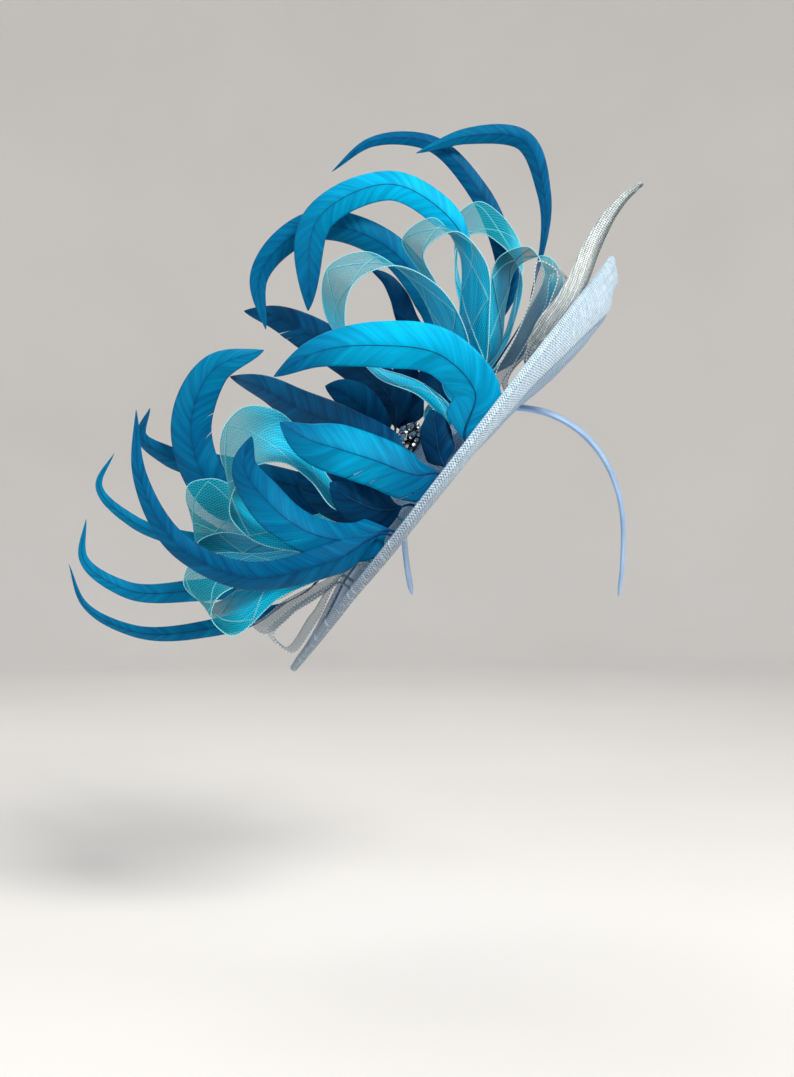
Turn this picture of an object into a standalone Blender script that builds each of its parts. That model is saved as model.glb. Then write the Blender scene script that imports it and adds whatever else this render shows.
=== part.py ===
"""Fascinator on a headband: a cupped sinamay saucer, crin loops, curled feathers and a stone brooch."""

import math
from collections import namedtuple

import bmesh
import bpy
from mathutils import Matrix, Vector
from mathutils.bvhtree import BVHTree

# Sizes are millimetres until a mesh is made. The origin is the inside top of the headband.
MM = 0.001
SEAM_GAP = 0.5

# Front drawing: an eye level with the face, turned a little to the wearer's right, sees each place
# as (across, up) on an upright plane through the origin, and (behind) is its depth past that plane.
EYE_TURN = math.radians(13.0)
EYE_DISTANCE = 900.0
EYE_ACROSS = -71.0
EYE_UP = -81.6
RIGHT = Vector((math.cos(EYE_TURN), math.sin(EYE_TURN), 0.0))
FORWARD = Vector((-math.sin(EYE_TURN), math.cos(EYE_TURN), 0.0))
UP = Vector((0.0, 0.0, 1.0))

# Headband
BAND_HALF_WIDTH = 73.5
BAND_WIDEST_DROP = 76.0
BAND_RISE = 79.0
BAND_LEG_CURL = 134.0
BAND_LEG_END = 42.0
BAND_SQUARENESS = 2.15
BAND_LEAN = math.radians(12.0)
BAND_BREADTH_TOP = 11.0
BAND_BREADTH_END = 8.0
BAND_THICK_TOP = 4.2
BAND_THICK_END = 3.2
BAND_STATIONS = 41
BAND_SECTION = (
    (0.55, 1.0),
    (1.0, 0.35),
    (1.0, -0.55),
    (0.6, -1.0),
    (-0.6, -1.0),
    (-1.0, -0.55),
    (-1.0, 0.35),
    (-0.55, 1.0),
)

# Saucer base: a leaf-shaped plan that tilts down to the wearer's right
BASE_LENGTH = 332.0
BASE_WIDTH = 200.0
BASE_POINTEDNESS = 0.8
BASE_TILT = math.radians(52.15)
BASE_CENTRE = (-35.0, -34.0)
BASE_WALL = 1.8
BASE_AROUND = 56
BASE_RINGS = (0.92, 0.78, 0.62, 0.46, 0.30, 0.15)
RIM_BLUNTNESS = 0.994
RIM_CROWDING = 0.8
SEAT_SEARCH_HEIGHT = 60.0
TROUGH_TURN = 6
FAR_LIFT = 12.0
FAR_LIFT_AT = -95.0
FAR_LIFT_SPREAD = 45.0
DOME_RISE = 43.5
DOME_AT = -4.0
DOME_LONG = 44.0
DOME_CROSS = 38.0

# Binding
BINDING_CLOTH = 1.1
BINDING_GAP = 0.35

# Sheet goods, and how finely their curves are followed
CURVE_FINENESS = 12
LEAF_STEPS = 16
LOOP_STEPS = 20
FEATHER_STEPS = 16
STEM = 7.0
FEATHER_STEM = 3.0
CRIN_WALL = 1.1
CRIN_SWELL = 1.6
CRIN_FOOT_WIDTH = 10.0
CRIN_GATHERED = 0.5
CRIN_OPENING_RATE = 3.2
FEATHER_EDGE = 0.9
FEATHER_RACHIS = 2.0
QUILL = 2.2
VANE_TIP_ROUNDNESS = 1.8
VANE_TIP_POINT = 0.8

# Brooch
BROOCH_SEAT = (-9.0, -14.0)
BROOCH_RADIUS = 13.5
BROOCH_PLATE = 2.2
BROOCH_PLATE_WALL = 1.3
BROOCH_PLATE_BEVEL = 2.0
BROOCH_SIDES = 20
STONE_RING_RADIUS = 10.2
STONE_RING_COUNT = 7
STONE_BIG = 4.6
STONE_SMALL = 3.1
STONE_SIDES = 8
STONE_PAVILION = 0.62
STONE_CROWN = 0.4
STONE_TABLE = 0.62
STONE_CLEARANCE = 0.3
STONE_SINK = 0.4
GIRDLE_RISE = 0.75
CUP_SIDES = 10
CUP_RIM = 1.0
CUP_FOOT = 0.8
CUP_FOOT_HEIGHT = 0.9

Trough = namedtuple("Trough", "along depth")
TROUGHS = (
    Trough(-166, 0.0),
    Trough(-110, 4.0),
    Trough(-57, 8.0),
    Trough(0, 11.5),
    Trough(45, 15.0),
    Trough(95, 20.0),
    Trough(127, 19.0),
    Trough(150, 10.0),
    Trough(166, 0.0),
)

# A feather runs from its seat on the base through four places of the front drawing to its tip.
Feather = namedtuple("Feather", "name seat rise bend crest turn tip depth tip_depth width bare opens closes")
FEATHERS = (
    Feather("feather_upper_front", (10, -70), (-21, 12), (-40, 34), (-83, 42), (-124, 37), (-150, 22),
            -72, -66, 29, 0.00, 0.11, 0.50),
    Feather("feather_middle_front", (-14, -72), (-58, -41), (-84, -32), (-106, -25), (-128, -18), (-146, -7),
            -76, -74, 30, 0.00, 0.14, 0.62),
    Feather("feather_middle_back", (-32, -56), (-70, -33), (-107, -9), (-132, 1), (-158, 15), (-178, 22),
            -58, 42, 24, 0.06, 0.16, 0.55),
    Feather("feather_side_arch", (-50, 36), (-140, -62), (-184, -55), (-203, -10), (-188, 27), (-156, 39),
            38, 28, 27, 0.12, 0.16, 0.72),
    Feather("feather_low_front", (-60, -74), (-110, -95), (-170, -106), (-211, -86), (-236, -40), (-238, 1),
            -84, -78, 19, 0.02, 0.16, 0.20),
    Feather("feather_side_far", (-58, 46), (-130, -50), (-190, -36), (-218, -29), (-235, -16), (-229, 2),
            48, 48, 20, 0.14, 0.16, 0.50),
    Feather("feather_side_left", (-66, 38), (-130, -80), (-205, -83), (-240, -71), (-262, -47), (-252, -27),
            42, 40, 14, 0.20, 0.16, 0.30),
    Feather("feather_low_left", (-74, 4), (-140, -106), (-200, -115), (-245, -114), (-272, -94), (-270, -69),
            14, 14, 15, 0.25, 0.16, 0.40),
    Feather("feather_low_end", (-80, 12), (-130, -116), (-190, -139), (-240, -141), (-272, -123),
            (-281, -98),
            20, 18, 12, 0.25, 0.16, 0.35),
    Feather("feather_top_arch", (22, 62), (0, 90), (-18, 140), (-50, 172), (-88, 172), (-113, 153),
            70, 68, 15, 0.25, 0.16, 0.50),
    Feather("feather_top_stem", (38, 58), (14, 70), (23, 140), (10, 173), (-25, 176), (-59, 165),
            58, 62, 18, 0.28, 0.62, 0.62),
    Feather("feather_top_bright", (24, 16), (-21, 45), (-36, 122), (-73, 145), (-120, 125), (-128, 64),
            26, 20, 20, 0.34, 0.16, 0.84),
    Feather("feather_top_teal", (-2, 32), (-50, 70), (-80, 107), (-125, 118), (-159, 86), (-155, 52),
            38, 38, 20, 0.22, 0.16, 0.66),
    Feather("feather_inner_upper", (18, -4), (-50, 36), (-64, 58), (-70, 74), (-77, 84), (-88, 91),
            5, 4, 14, 0.20, 0.16, 0.62),
    Feather("feather_inner_middle", (-12, 12), (-72, 3), (-95, 28), (-122, 47), (-147, 60), (-169, 64),
            13, 56, 25, 0.06, 0.16, 0.62),
    Feather("feather_inner_short", (-24, 4), (-84, -18), (-90, -5), (-97, 5), (-106, 12), (-117, 16),
            6, 6, 26, 0.16, 0.16, 0.62),
    Feather("feather_inner_broad", (-8, 21), (-67, -9), (-67, 2), (-67, 13), (-67, 23), (-71, 33),
            20, 20, 28, 0.16, 0.20, 0.62),
    Feather("feather_inner_root", (14, -8), (-43, 3), (-43, 10), (-45, 17), (-49, 24), (-55, 31),
            -8, -8, 27, 0.10, 0.36, 0.62),
    Feather("feather_inner_corner", (-9, -69), (-43, -30), (-45, -22), (-46, -14), (-47, -7), (-49, 1),
            -68, -68, 19, 0.00, 0.30, 0.62),
    Feather("feather_lower_root", (-38, -66), (-74, -63), (-83, -63), (-92, -60), (-102, -55), (-114, -46),
            -67, -67, 27, 0.12, 0.20, 0.62),
    Feather("feather_lower_back", (-44, -22), (-90, -60), (-99, -58), (-109, -55), (-121, -48), (-134, -38),
            -26, -26, 32, 0.12, 0.20, 0.62),
    Feather("feather_inner_lower", (-57, -68), (-96, -83), (-124, -79), (-154, -58), (-169, -34),
            (-164, -16),
            -75, -74, 24, 0.02, 0.12, 0.62),
)

# A loop rises from its out seat, turns over its crown and comes back to its in seat. It is a strip of
# crin that starts at the given depth and runs back by its reach; its far edge leans (across, up) by
# three amounts, on its out limb, over its crown and on its in limb.
Loop = namedtuple(
    "Loop", "name out_seat path in_seat out_depth in_depth reach out_lean crown_lean in_lean grey"
)
LOOPS = (
    Loop("crin_loop_top_left", (22, -58),
         ((-25, 12), (-26, 48), (-46, 81), (-73, 93), (-99, 81), (-104, 54), (-84, 22), (-56, 9), (-42, -6)),
         (4, -56), -52, -52, 40, (-26, 0), (-17, 10), (16, 8), False),
    Loop("crin_loop_top_middle", (28, -44),
         ((-16, 20), (-12, 58), (-15, 97), (-34, 115), (-54, 101), (-46, 82), (-33, 60), (-27, 34)),
         (10, 18), -46, -2, 34, (-26, 0), (-14, 9), (-3, 6), False),
    Loop("crin_loop_top_right", (36, -34),
         ((-1, 36), (12, 62), (23, 90), (13, 105), (-6, 98), (-12, 76), (-14, 40)),
         (34, 2), -40, 2, 34, (13, -3), (12, -6), (12, -4), False),
    Loop("crin_loop_top_back", (34, 44),
         ((2, 50), (8, 90), (-4, 106), (-19, 114), (-31, 108), (-34, 88), (-27, 50)),
         (12, 46), 44, 44, 20, (0, 14), (0, 20), (0, 14), False),
    Loop("grey_crin_loop_upper", (42, -60),
         ((-9, 18), (6, 50), (16, 76), (20, 96), (31, 90), (27, 70), (12, 44)),
         (50, -50), -52, -52, 24, (5, -3), (9, -8), (7, -5), True),
    Loop("crin_loop_side_front", (-48, -58),
         ((-112, -62), (-127, -44), (-144, -33), (-161, -35), (-175, -50), (-178, -66), (-167, -80),
          (-134, -90)),
         (-66, -58), -62, -62, 30, (2, 22), (-8, 38), (2, 26), False),
    Loop("crin_loop_side_back", (-46, -6),
         ((-130, -84), (-165, -80), (-185, -78), (-199, -85), (-200, -94), (-186, -102), (-140, -100)),
         (-62, -6), -14, -14, 30, (0, 22), (-6, 37), (-4, 26), False),
    Loop("crin_loop_low", (-72, -42),
         ((-118, -97), (-152, -108), (-174, -112), (-187, -121), (-190, -132), (-180, -143), (-145, -119),
          (-116, -106)),
         (-82, -50), -60, -60, 30, (-4, 16), (-18, 22), (-6, 16), False),
    Loop("grey_crin_loop_middle", (-76, -30),
         ((-112, -102), (-142, -118), (-166, -134), (-158, -142), (-134, -127), (-114, -114)),
         (-98, -26), -18, -18, 22, (-7, 6), (-8, 7), (-7, 6), True),
    Loop("grey_crin_loop_low", (-86, -62),
         ((-114, -112), (-140, -132), (-150, -144), (-139, -155), (-122, -134)),
         (-102, -46), -48, -36, 18, (0, 0), (-4, 3), (-6, 5), True),
)

# The leaf's rows run from its foot to its tip.
LeafRow = namedtuple("LeafRow", "across up behind half_width turn")
LEAF_ROWS = (
    LeafRow(18, 18, -64, 2.0, -60),
    LeafRow(17, 31, -65, 7.0, -50),
    LeafRow(26, 49, -64, 10.2, -42),
    LeafRow(40, 69, -55, 9.0, -36),
    LeafRow(48, 87, -47, 7.2, -34),
    LeafRow(56, 108, -41, 5.4, -20),
    LeafRow(66, 126, -40, 3.4, -8),
    LeafRow(75, 137, -38, 2.2, 0),
    LeafRow(86, 146, -36, 0.9, 10),
)
LEAF_SEAT = (66, -64)
LEAF_STEM = 1.0
LEAF_WALL = 1.6
LEAF_FOLD = 0.35

Finish = namedtuple("Finish", "colour roughness metallic")
FINISHES = {
    "satin_blue": Finish((0.36, 0.53, 0.75), 0.35, 0.0),
    "sinamay_blue": Finish((0.44, 0.58, 0.74), 0.7, 0.0),
    "sinamay_ivory": Finish((0.55, 0.58, 0.56), 0.6, 0.0),
    "crin_turquoise": Finish((0.02, 0.34, 0.46), 0.4, 0.0),
    "crin_grey": Finish((0.25, 0.28, 0.29), 0.4, 0.0),
    "feather_blue": Finish((0.0, 0.33, 0.62), 0.6, 0.0),
    "dark_metal": Finish((0.08, 0.08, 0.09), 0.3, 1.0),
    "clear_stone": Finish((0.9, 0.92, 0.95), 0.05, 0.0),
}


def clear_scene():
    """Remove every object that is in the file."""
    for item in list(bpy.data.objects):
        bpy.data.objects.remove(item, do_unlink=True)


def finish_material(name):
    """The Principled material of one finish, made once."""
    found = bpy.data.materials.get(name)
    if found:
        return found
    finish = FINISHES[name]
    material = bpy.data.materials.new(name)
    material.use_nodes = True
    shader = material.node_tree.nodes["Principled BSDF"]
    shader.inputs["Base Color"].default_value = (*finish.colour, 1.0)
    shader.inputs["Roughness"].default_value = finish.roughness
    shader.inputs["Metallic"].default_value = finish.metallic
    return material


def add_object(name, points, faces, finish):
    """A smooth-shaded closed mesh object from millimetre points."""
    mesh = bpy.data.meshes.new(name)
    mesh.from_pydata([tuple(point * MM) for point in points], [], faces)
    shape = bmesh.new()
    shape.from_mesh(mesh)
    bmesh.ops.recalc_face_normals(shape, faces=shape.faces)
    bmesh.ops.triangulate(shape, faces=shape.faces)
    shape.to_mesh(mesh)
    shape.free()
    mesh.shade_smooth()
    mesh.set_sharp_from_angle(angle=math.radians(40.0))
    item = bpy.data.objects.new(name, mesh)
    item.data.materials.append(finish_material(finish))
    bpy.context.scene.collection.objects.link(item)
    return item


def place(across, up, behind):
    """World point of a place in the front drawing."""
    spread = (EYE_DISTANCE + behind) / EYE_DISTANCE
    level = EYE_ACROSS + (across - EYE_ACROSS) * spread
    height = EYE_UP + (up - EYE_UP) * spread
    return RIGHT * level + FORWARD * behind + UP * height


def smooth_step(value):
    """Ease from 0 to 1."""
    value = min(1.0, max(0.0, value))
    return value * value * (3.0 - 2.0 * value)


def smooth_curve(points):
    """Fine polyline of the smooth curve through the points, each heading weighed by the spans beside it."""
    spans = [(b - a).length for a, b in zip(points, points[1:])]
    slopes = [(b - a).normalized() for a, b in zip(points, points[1:])]
    headings = [slopes[0]]
    for i in range(1, len(slopes)):
        weighed = slopes[i] * spans[i - 1] + slopes[i - 1] * spans[i]
        headings.append(weighed / (spans[i - 1] + spans[i]))
    headings.append(slopes[-1])
    fine = []
    for i, span in enumerate(spans):
        for k in range(CURVE_FINENESS):
            t = k / CURVE_FINENESS
            fine.append(
                points[i] * (1.0 - 3.0 * t * t + 2.0 * t ** 3)
                + headings[i] * span * (t - 2.0 * t * t + t ** 3)
                + points[i + 1] * (3.0 * t * t - 2.0 * t ** 3)
                + headings[i + 1] * span * (t ** 3 - t * t)
            )
    fine.append(points[-1])
    return fine


def even_indices(fine, steps):
    """Fractional indices into a fine polyline, at even arc lengths."""
    lengths = [0.0]
    for a, b in zip(fine, fine[1:]):
        lengths.append(lengths[-1] + (b - a).length)
    indices = []
    low = 0
    for k in range(steps + 1):
        wanted = lengths[-1] * k / steps
        while low < len(fine) - 2 and lengths[low + 1] < wanted:
            low += 1
        span = max(lengths[low + 1] - lengths[low], 1e-9)
        indices.append(low + min(1.0, (wanted - lengths[low]) / span))
    return indices


def along_curve(fine, index):
    """Place and heading of a polyline at a fractional index."""
    low = min(int(index), len(fine) - 2)
    return fine[low].lerp(fine[low + 1], index - low), (fine[low + 1] - fine[low]).normalized()


def loft(rings, closed=False):
    """Points and faces of a tube through rings of equal size, capped unless it closes on itself."""
    size = len(rings[0])
    points = [point for ring in rings for point in ring]
    faces = []
    spans = len(rings) if closed else len(rings) - 1
    for i in range(spans):
        here = i * size
        there = (i + 1) % len(rings) * size
        for j in range(size):
            k = (j + 1) % size
            faces.append((here + j, here + k, there + k, there + j))
    if not closed:
        faces.append(tuple(reversed(range(size))))
        last = (len(rings) - 1) * size
        faces.append(tuple(range(last, last + size)))
    return points, faces


# Headband


def band_centre(angle):
    """Middle of the headband's wall; the angle is 90 degrees at the top and negative on a leg."""
    reach = abs(math.cos(angle))
    rise = math.sin(angle)
    if rise >= 0.0:
        reach = reach ** (2.0 / BAND_SQUARENESS)
        rise = rise ** (2.0 / BAND_SQUARENESS) * BAND_RISE
    else:
        rise = rise * BAND_LEG_CURL
    out = math.copysign(reach, math.cos(angle)) * (BAND_HALF_WIDTH - BAND_THICK_END / 2.0)
    height = rise - BAND_WIDEST_DROP + (BAND_THICK_TOP / 2.0 + BAND_WIDEST_DROP - BAND_RISE)
    return Vector((out, -height * math.tan(BAND_LEAN), height))


def make_headband():
    """Padded satin band, an open arch with a rounded section."""
    leg_angle = math.asin(BAND_LEG_END / BAND_LEG_CURL)
    start = -leg_angle
    sweep = math.pi + 2.0 * leg_angle
    middle = [band_centre(start + sweep * i / (BAND_STATIONS - 1)) for i in range(BAND_STATIONS)]
    breadth_axis = Vector((0.0, math.cos(BAND_LEAN), math.sin(BAND_LEAN)))
    rings = []
    for i, centre in enumerate(middle):
        ahead = middle[min(i + 1, BAND_STATIONS - 1)]
        back = middle[max(i - 1, 0)]
        outward = breadth_axis.cross((ahead - back).normalized())
        topness = math.sin(math.pi * i / (BAND_STATIONS - 1))
        half_breadth = (BAND_BREADTH_END + (BAND_BREADTH_TOP - BAND_BREADTH_END) * topness) / 2.0
        half_thick = (BAND_THICK_END + (BAND_THICK_TOP - BAND_THICK_END) * topness) / 2.0
        ring = []
        for corner, swell in BAND_SECTION:
            ring.append(centre + breadth_axis * corner * half_breadth + outward * swell * half_thick)
        rings.append(ring)
    points, faces = loft(rings)
    add_object("headband", points, faces, "satin_blue")


# Saucer base


LENGTHWISE = RIGHT * math.cos(BASE_TILT) + UP * math.sin(BASE_TILT)
BASE_NORMAL = UP * math.cos(BASE_TILT) - RIGHT * math.sin(BASE_TILT)
BASE_ORIGIN = RIGHT * BASE_CENTRE[0] + UP * BASE_CENTRE[1]


def half_width(along):
    """Half of the base's breadth at a distance along it."""
    share = min(1.0, abs(along) / (BASE_LENGTH / 2.0))
    return BASE_WIDTH / 2.0 * (1.0 - share * share) ** BASE_POINTEDNESS


def trough_depth(along):
    """How far the base dips below its rim line, eased between the table's rows."""
    for low, high in zip(TROUGHS, TROUGHS[1:]):
        if along <= high.along:
            share = smooth_step((along - low.along) / (high.along - low.along))
            return low.depth + (high.depth - low.depth) * share
    return 0.0


def base_height(along, cross):
    """Height of the saucer's middle surface over its rim plane."""
    edge = min(1.0, abs(cross) / max(half_width(along), 0.5))
    inside = 1.0 - edge ** TROUGH_TURN
    spread = ((along - DOME_AT) / DOME_LONG) ** 2 + (cross / DOME_CROSS) ** 2
    dome = DOME_RISE * math.exp(-spread / 2.0)
    far_side = smooth_step(0.5 + cross / BASE_WIDTH)
    lift = FAR_LIFT * far_side * math.exp(-((along - FAR_LIFT_AT) / FAR_LIFT_SPREAD) ** 2)
    return (dome - trough_depth(along)) * inside + lift


def base_point(along, cross):
    """World point on the saucer's middle surface."""
    height = base_height(along, cross)
    return BASE_ORIGIN + LENGTHWISE * along + FORWARD * cross + BASE_NORMAL * height


def base_surface(along, cross, off):
    """World point at a distance off the middle surface, along its own normal."""
    step = 0.5
    run = base_point(along + step, cross) - base_point(along - step, cross)
    over = base_point(along, cross + step) - base_point(along, cross - step)
    normal = run.cross(over).normalized()
    if normal.dot(BASE_NORMAL) < 0.0:
        normal = -normal
    return base_point(along, cross) + normal * off


def rim_stations():
    """Plan places (along, cross) round the rim, closer together at the two points."""
    half_length = BASE_LENGTH / 2.0 * RIM_BLUNTNESS
    places = []
    for i in range(BASE_AROUND):
        angle = 2.0 * math.pi * (i + 0.5) / BASE_AROUND
        along = half_length * math.copysign(abs(math.cos(angle)) ** RIM_CROWDING, math.cos(angle))
        cross = math.copysign(half_width(along), math.sin(angle))
        places.append((along, cross))
    return places


def saucer_ring(scale, off):
    """A ring of the saucer: the rim's plan, scaled, at a distance off the middle surface."""
    return [base_surface(along * scale, cross * scale, off) for along, cross in rim_stations()]


def make_base():
    """Closed sinamay wall between an upper and a lower surface."""
    half = BASE_WALL / 2.0
    scales = (1.0, *BASE_RINGS)
    upper = [saucer_ring(scale, half) for scale in reversed(scales)]
    lower = [saucer_ring(scale, -half) for scale in scales]
    points, faces = loft(upper + lower)
    faces = faces[:-2]
    last = len(points) - BASE_AROUND
    points.append(base_surface(0.0, 0.0, half))
    points.append(base_surface(0.0, 0.0, -half))
    for j in range(BASE_AROUND):
        k = (j + 1) % BASE_AROUND
        faces.append((len(points) - 2, k, j))
        faces.append((len(points) - 1, last + j, last + k))
    return add_object("sinamay_base", points, faces, "sinamay_blue")


def make_binding():
    """Bias strip folded over the rim, with a leg on each side of the base."""
    inner_off = BASE_WALL / 2.0 + BINDING_GAP
    outer_off = inner_off + BINDING_CLOTH
    rim = saucer_ring(1.0, 0.0)
    inset = saucer_ring(BASE_RINGS[0], 0.0)
    outward = [(a - b).normalized() for a, b in zip(rim, inset)]
    upper = saucer_ring(1.0, 1.0)
    normals = [(a - b).normalized() for a, b in zip(upper, rim)]

    def beyond(distance, off):
        return [p + o * distance + n * off for p, o, n in zip(rim, outward, normals)]

    courses = (
        saucer_ring(BASE_RINGS[0], inner_off),
        beyond(BINDING_GAP, inner_off),
        beyond(BINDING_GAP, -inner_off),
        saucer_ring(BASE_RINGS[0], -inner_off),
        saucer_ring(BASE_RINGS[0], -outer_off),
        beyond(BINDING_GAP, -outer_off),
        beyond(BINDING_GAP + BINDING_CLOTH, -inner_off * 0.5),
        beyond(BINDING_GAP + BINDING_CLOTH, inner_off * 0.5),
        beyond(BINDING_GAP, outer_off),
        saucer_ring(BASE_RINGS[0], outer_off),
    )
    rings = [[course[i] for course in courses] for i in range(BASE_AROUND)]
    points, faces = loft(rings, closed=True)
    add_object("rim_binding", points, faces, "sinamay_blue")


def base_skin(base):
    """The base's own facets, to stand other pieces on."""
    mesh = base.data
    return BVHTree.FromPolygons([v.co for v in mesh.vertices], [p.vertices for p in mesh.polygons])


def seat_on_base(skin, along, cross, stem):
    """World place where a piece stands on the saucer, and the place a stem's length above it."""
    start = base_point(along, cross) + BASE_NORMAL * SEAT_SEARCH_HEIGHT
    hit, facing, _, _ = skin.ray_cast(start * MM, -BASE_NORMAL)
    foot = hit / MM + facing * SEAM_GAP
    return foot, foot + facing * stem


# Leaf


def between_rows(index):
    """Half width and turn of the leaf at a fractional index of its curve."""
    row_at = min(index / CURVE_FINENESS, len(LEAF_ROWS) - 1.001)
    low = LEAF_ROWS[int(row_at)]
    high = LEAF_ROWS[int(row_at) + 1]
    share = row_at - int(row_at)
    half = low.half_width + (high.half_width - low.half_width) * share
    turn = low.turn + (high.turn - low.turn) * share
    return half, math.radians(turn)


def make_leaf(skin):
    """Pointed, twisted leaf with a fold along its middle."""
    middle = [place(row.across, row.up, row.behind) for row in LEAF_ROWS]
    middle[0] = seat_on_base(skin, *LEAF_SEAT, LEAF_STEM)[1]
    fine = smooth_curve(middle)
    rings = []
    for index in even_indices(fine, LEAF_STEPS):
        half, turn = between_rows(index)
        centre, run = along_curve(fine, index)
        flat = run.cross(FORWARD).normalized()
        rise = flat.cross(run)
        side = flat * math.cos(turn) + rise * math.sin(turn)
        face = rise * math.cos(turn) - flat * math.sin(turn)
        sag = face * half * LEAF_FOLD
        wall = face * LEAF_WALL / 2.0
        rings.append([
            centre - side * half + sag + wall,
            centre + wall,
            centre + side * half + sag + wall,
            centre + side * half + sag - wall,
            centre - wall,
            centre - side * half + sag - wall,
        ])
    points, faces = loft(rings)
    add_object("sinamay_leaf", points, faces, "sinamay_ivory")


# Crin loops


def lean_at(loop, share):
    """How far (across, up) the far edge leans at a share of the loop's way."""
    if share < 0.5:
        start, end, part = loop.out_lean, loop.crown_lean, smooth_step(share * 2.0)
    else:
        start, end, part = loop.crown_lean, loop.in_lean, smooth_step(share * 2.0 - 1.0)
    return start[0] + (end[0] - start[0]) * part, start[1] + (end[1] - start[1]) * part


def loop_edges(skin, loop):
    """Curves of the near and far edges of a loop's strip."""
    count = len(loop.path)
    out_foot, out_rise = seat_on_base(skin, *loop.out_seat, STEM)
    in_foot, in_rise = seat_on_base(skin, *loop.in_seat, STEM)
    out_far, out_far_rise = seat_on_base(skin, loop.out_seat[0], loop.out_seat[1] + CRIN_FOOT_WIDTH, STEM)
    in_far, in_far_rise = seat_on_base(skin, loop.in_seat[0], loop.in_seat[1] + CRIN_FOOT_WIDTH, STEM)
    near = [out_foot, out_rise]
    far = [out_far, out_far_rise]
    for i, (across, up) in enumerate(loop.path):
        share = (i + 1) / (count + 1)
        depth = loop.out_depth + (loop.in_depth - loop.out_depth) * smooth_step(share)
        opened = smooth_step(CRIN_OPENING_RATE * min(share, 1.0 - share))
        gather = CRIN_GATHERED + (1.0 - CRIN_GATHERED) * opened
        near.append(place(across, up, depth))
        lean = lean_at(loop, share)
        far.append(place(across + lean[0] * gather, up + lean[1] * gather, depth + loop.reach * gather))
    near += [in_rise, in_foot]
    far += [in_far_rise, in_far]
    return smooth_curve(near), smooth_curve(far)


def make_loop(skin, loop):
    """Strip of crin, gathered to a narrow foot at each end."""
    near_curve, far_curve = loop_edges(skin, loop)
    rings = []
    for index in even_indices(near_curve, LOOP_STEPS):
        near, near_run = along_curve(near_curve, index)
        far, far_run = along_curve(far_curve, index)
        middle = (near + far) / 2.0
        wall = (near_run + far_run).cross(far - near).normalized() * CRIN_WALL / 2.0
        rings.append([
            near + wall,
            middle + wall * CRIN_SWELL,
            far + wall,
            far - wall,
            middle - wall * CRIN_SWELL,
            near - wall,
        ])
    points, faces = loft(rings)
    finish = "crin_grey" if loop.grey else "crin_turquoise"
    add_object(loop.name, points, faces, finish)


# Feathers


def feather_half_width(feather, share):
    """Half of the vane's width at a share of the feather's length."""
    opened = smooth_step((share - feather.bare) / feather.opens)
    closing = max(0.0, (share - feather.closes) / (1.0 - feather.closes))
    tip = max(0.0, 1.0 - closing ** VANE_TIP_ROUNDNESS) ** VANE_TIP_POINT
    return max(QUILL / 2.0, feather.width / 2.0 * opened * tip)


def feather_curve(skin, feather):
    """Curve of the feather's rachis, from its seat to its tip."""
    foot, rise = seat_on_base(skin, *feather.seat, FEATHER_STEM)
    drawn = (feather.rise, feather.bend, feather.crest, feather.turn, feather.tip)
    points = [foot, rise]
    for i, (across, up) in enumerate(drawn):
        share = i / (len(drawn) - 1)
        depth = feather.depth + (feather.tip_depth - feather.depth) * share
        points.append(place(across, up, depth))
    return smooth_curve(points)


def make_feather(skin, feather):
    """Curled blade with a thicker rachis down its middle."""
    curve = feather_curve(skin, feather)
    rings = []
    for i, index in enumerate(even_indices(curve, FEATHER_STEPS)):
        centre, run = along_curve(curve, index)
        side = run.cross(FORWARD).normalized()
        face = side.cross(run)
        half = feather_half_width(feather, i / FEATHER_STEPS)
        edge = face * FEATHER_EDGE / 2.0
        rachis = face * FEATHER_RACHIS / 2.0
        rings.append([
            centre - side * half + edge,
            centre + rachis,
            centre + side * half + edge,
            centre + side * half - edge,
            centre - rachis,
            centre - side * half - edge,
        ])
    points, faces = loft(rings)
    add_object(feather.name, points, faces, "feather_blue")


# Brooch


def brooch_frame(skin):
    """Matrix from the brooch's own millimetres, +Z off the base, to the world."""
    foot, above = seat_on_base(skin, *BROOCH_SEAT, STEM)
    axis = (above - foot).normalized()
    across = LENGTHWISE - axis * LENGTHWISE.dot(axis)
    across.normalize()
    turn = Matrix((across, axis.cross(across), axis)).transposed().to_4x4()
    return Matrix.Translation(foot) @ turn


def lathe(profile, sides, centre):
    """Turned solid from a (radius, height) profile that starts and ends on its axis."""
    points = []
    faces = []
    rows = []
    for radius, height in profile:
        if radius == 0.0:
            rows.append([len(points)])
            points.append(Vector((centre[0], centre[1], height)))
            continue
        row = []
        for k in range(sides):
            angle = 2.0 * math.pi * k / sides
            row.append(len(points))
            points.append(Vector((
                centre[0] + radius * math.cos(angle),
                centre[1] + radius * math.sin(angle),
                height,
            )))
        rows.append(row)
    for low, high in zip(rows, rows[1:]):
        for k in range(sides):
            n = (k + 1) % sides
            if len(low) == 1:
                faces.append((low[0], high[n], high[k]))
            elif len(high) == 1:
                faces.append((low[k], low[n], high[0]))
            else:
                faces.append((low[k], low[n], high[n], high[k]))
    return points, faces


def stone_places():
    """Plan centre and radius of each stone: one big stone in a ring of small ones."""
    places = [((0.0, 0.0), STONE_BIG)]
    for k in range(STONE_RING_COUNT):
        angle = 2.0 * math.pi * k / STONE_RING_COUNT
        places.append((
            (STONE_RING_RADIUS * math.cos(angle), STONE_RING_RADIUS * math.sin(angle)),
            STONE_SMALL,
        ))
    return places


def cup_height(radius):
    """Height of a stone's girdle over the brooch's underside."""
    return BROOCH_PLATE + radius * GIRDLE_RISE


def turned_object(name, profile, sides, centre, finish):
    """Object of a turned solid, kept at a thousand times its size while Booleans work on it."""
    points, faces = lathe(profile, sides, centre)
    return add_object(name, [point / MM for point in points], faces, finish)


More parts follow.
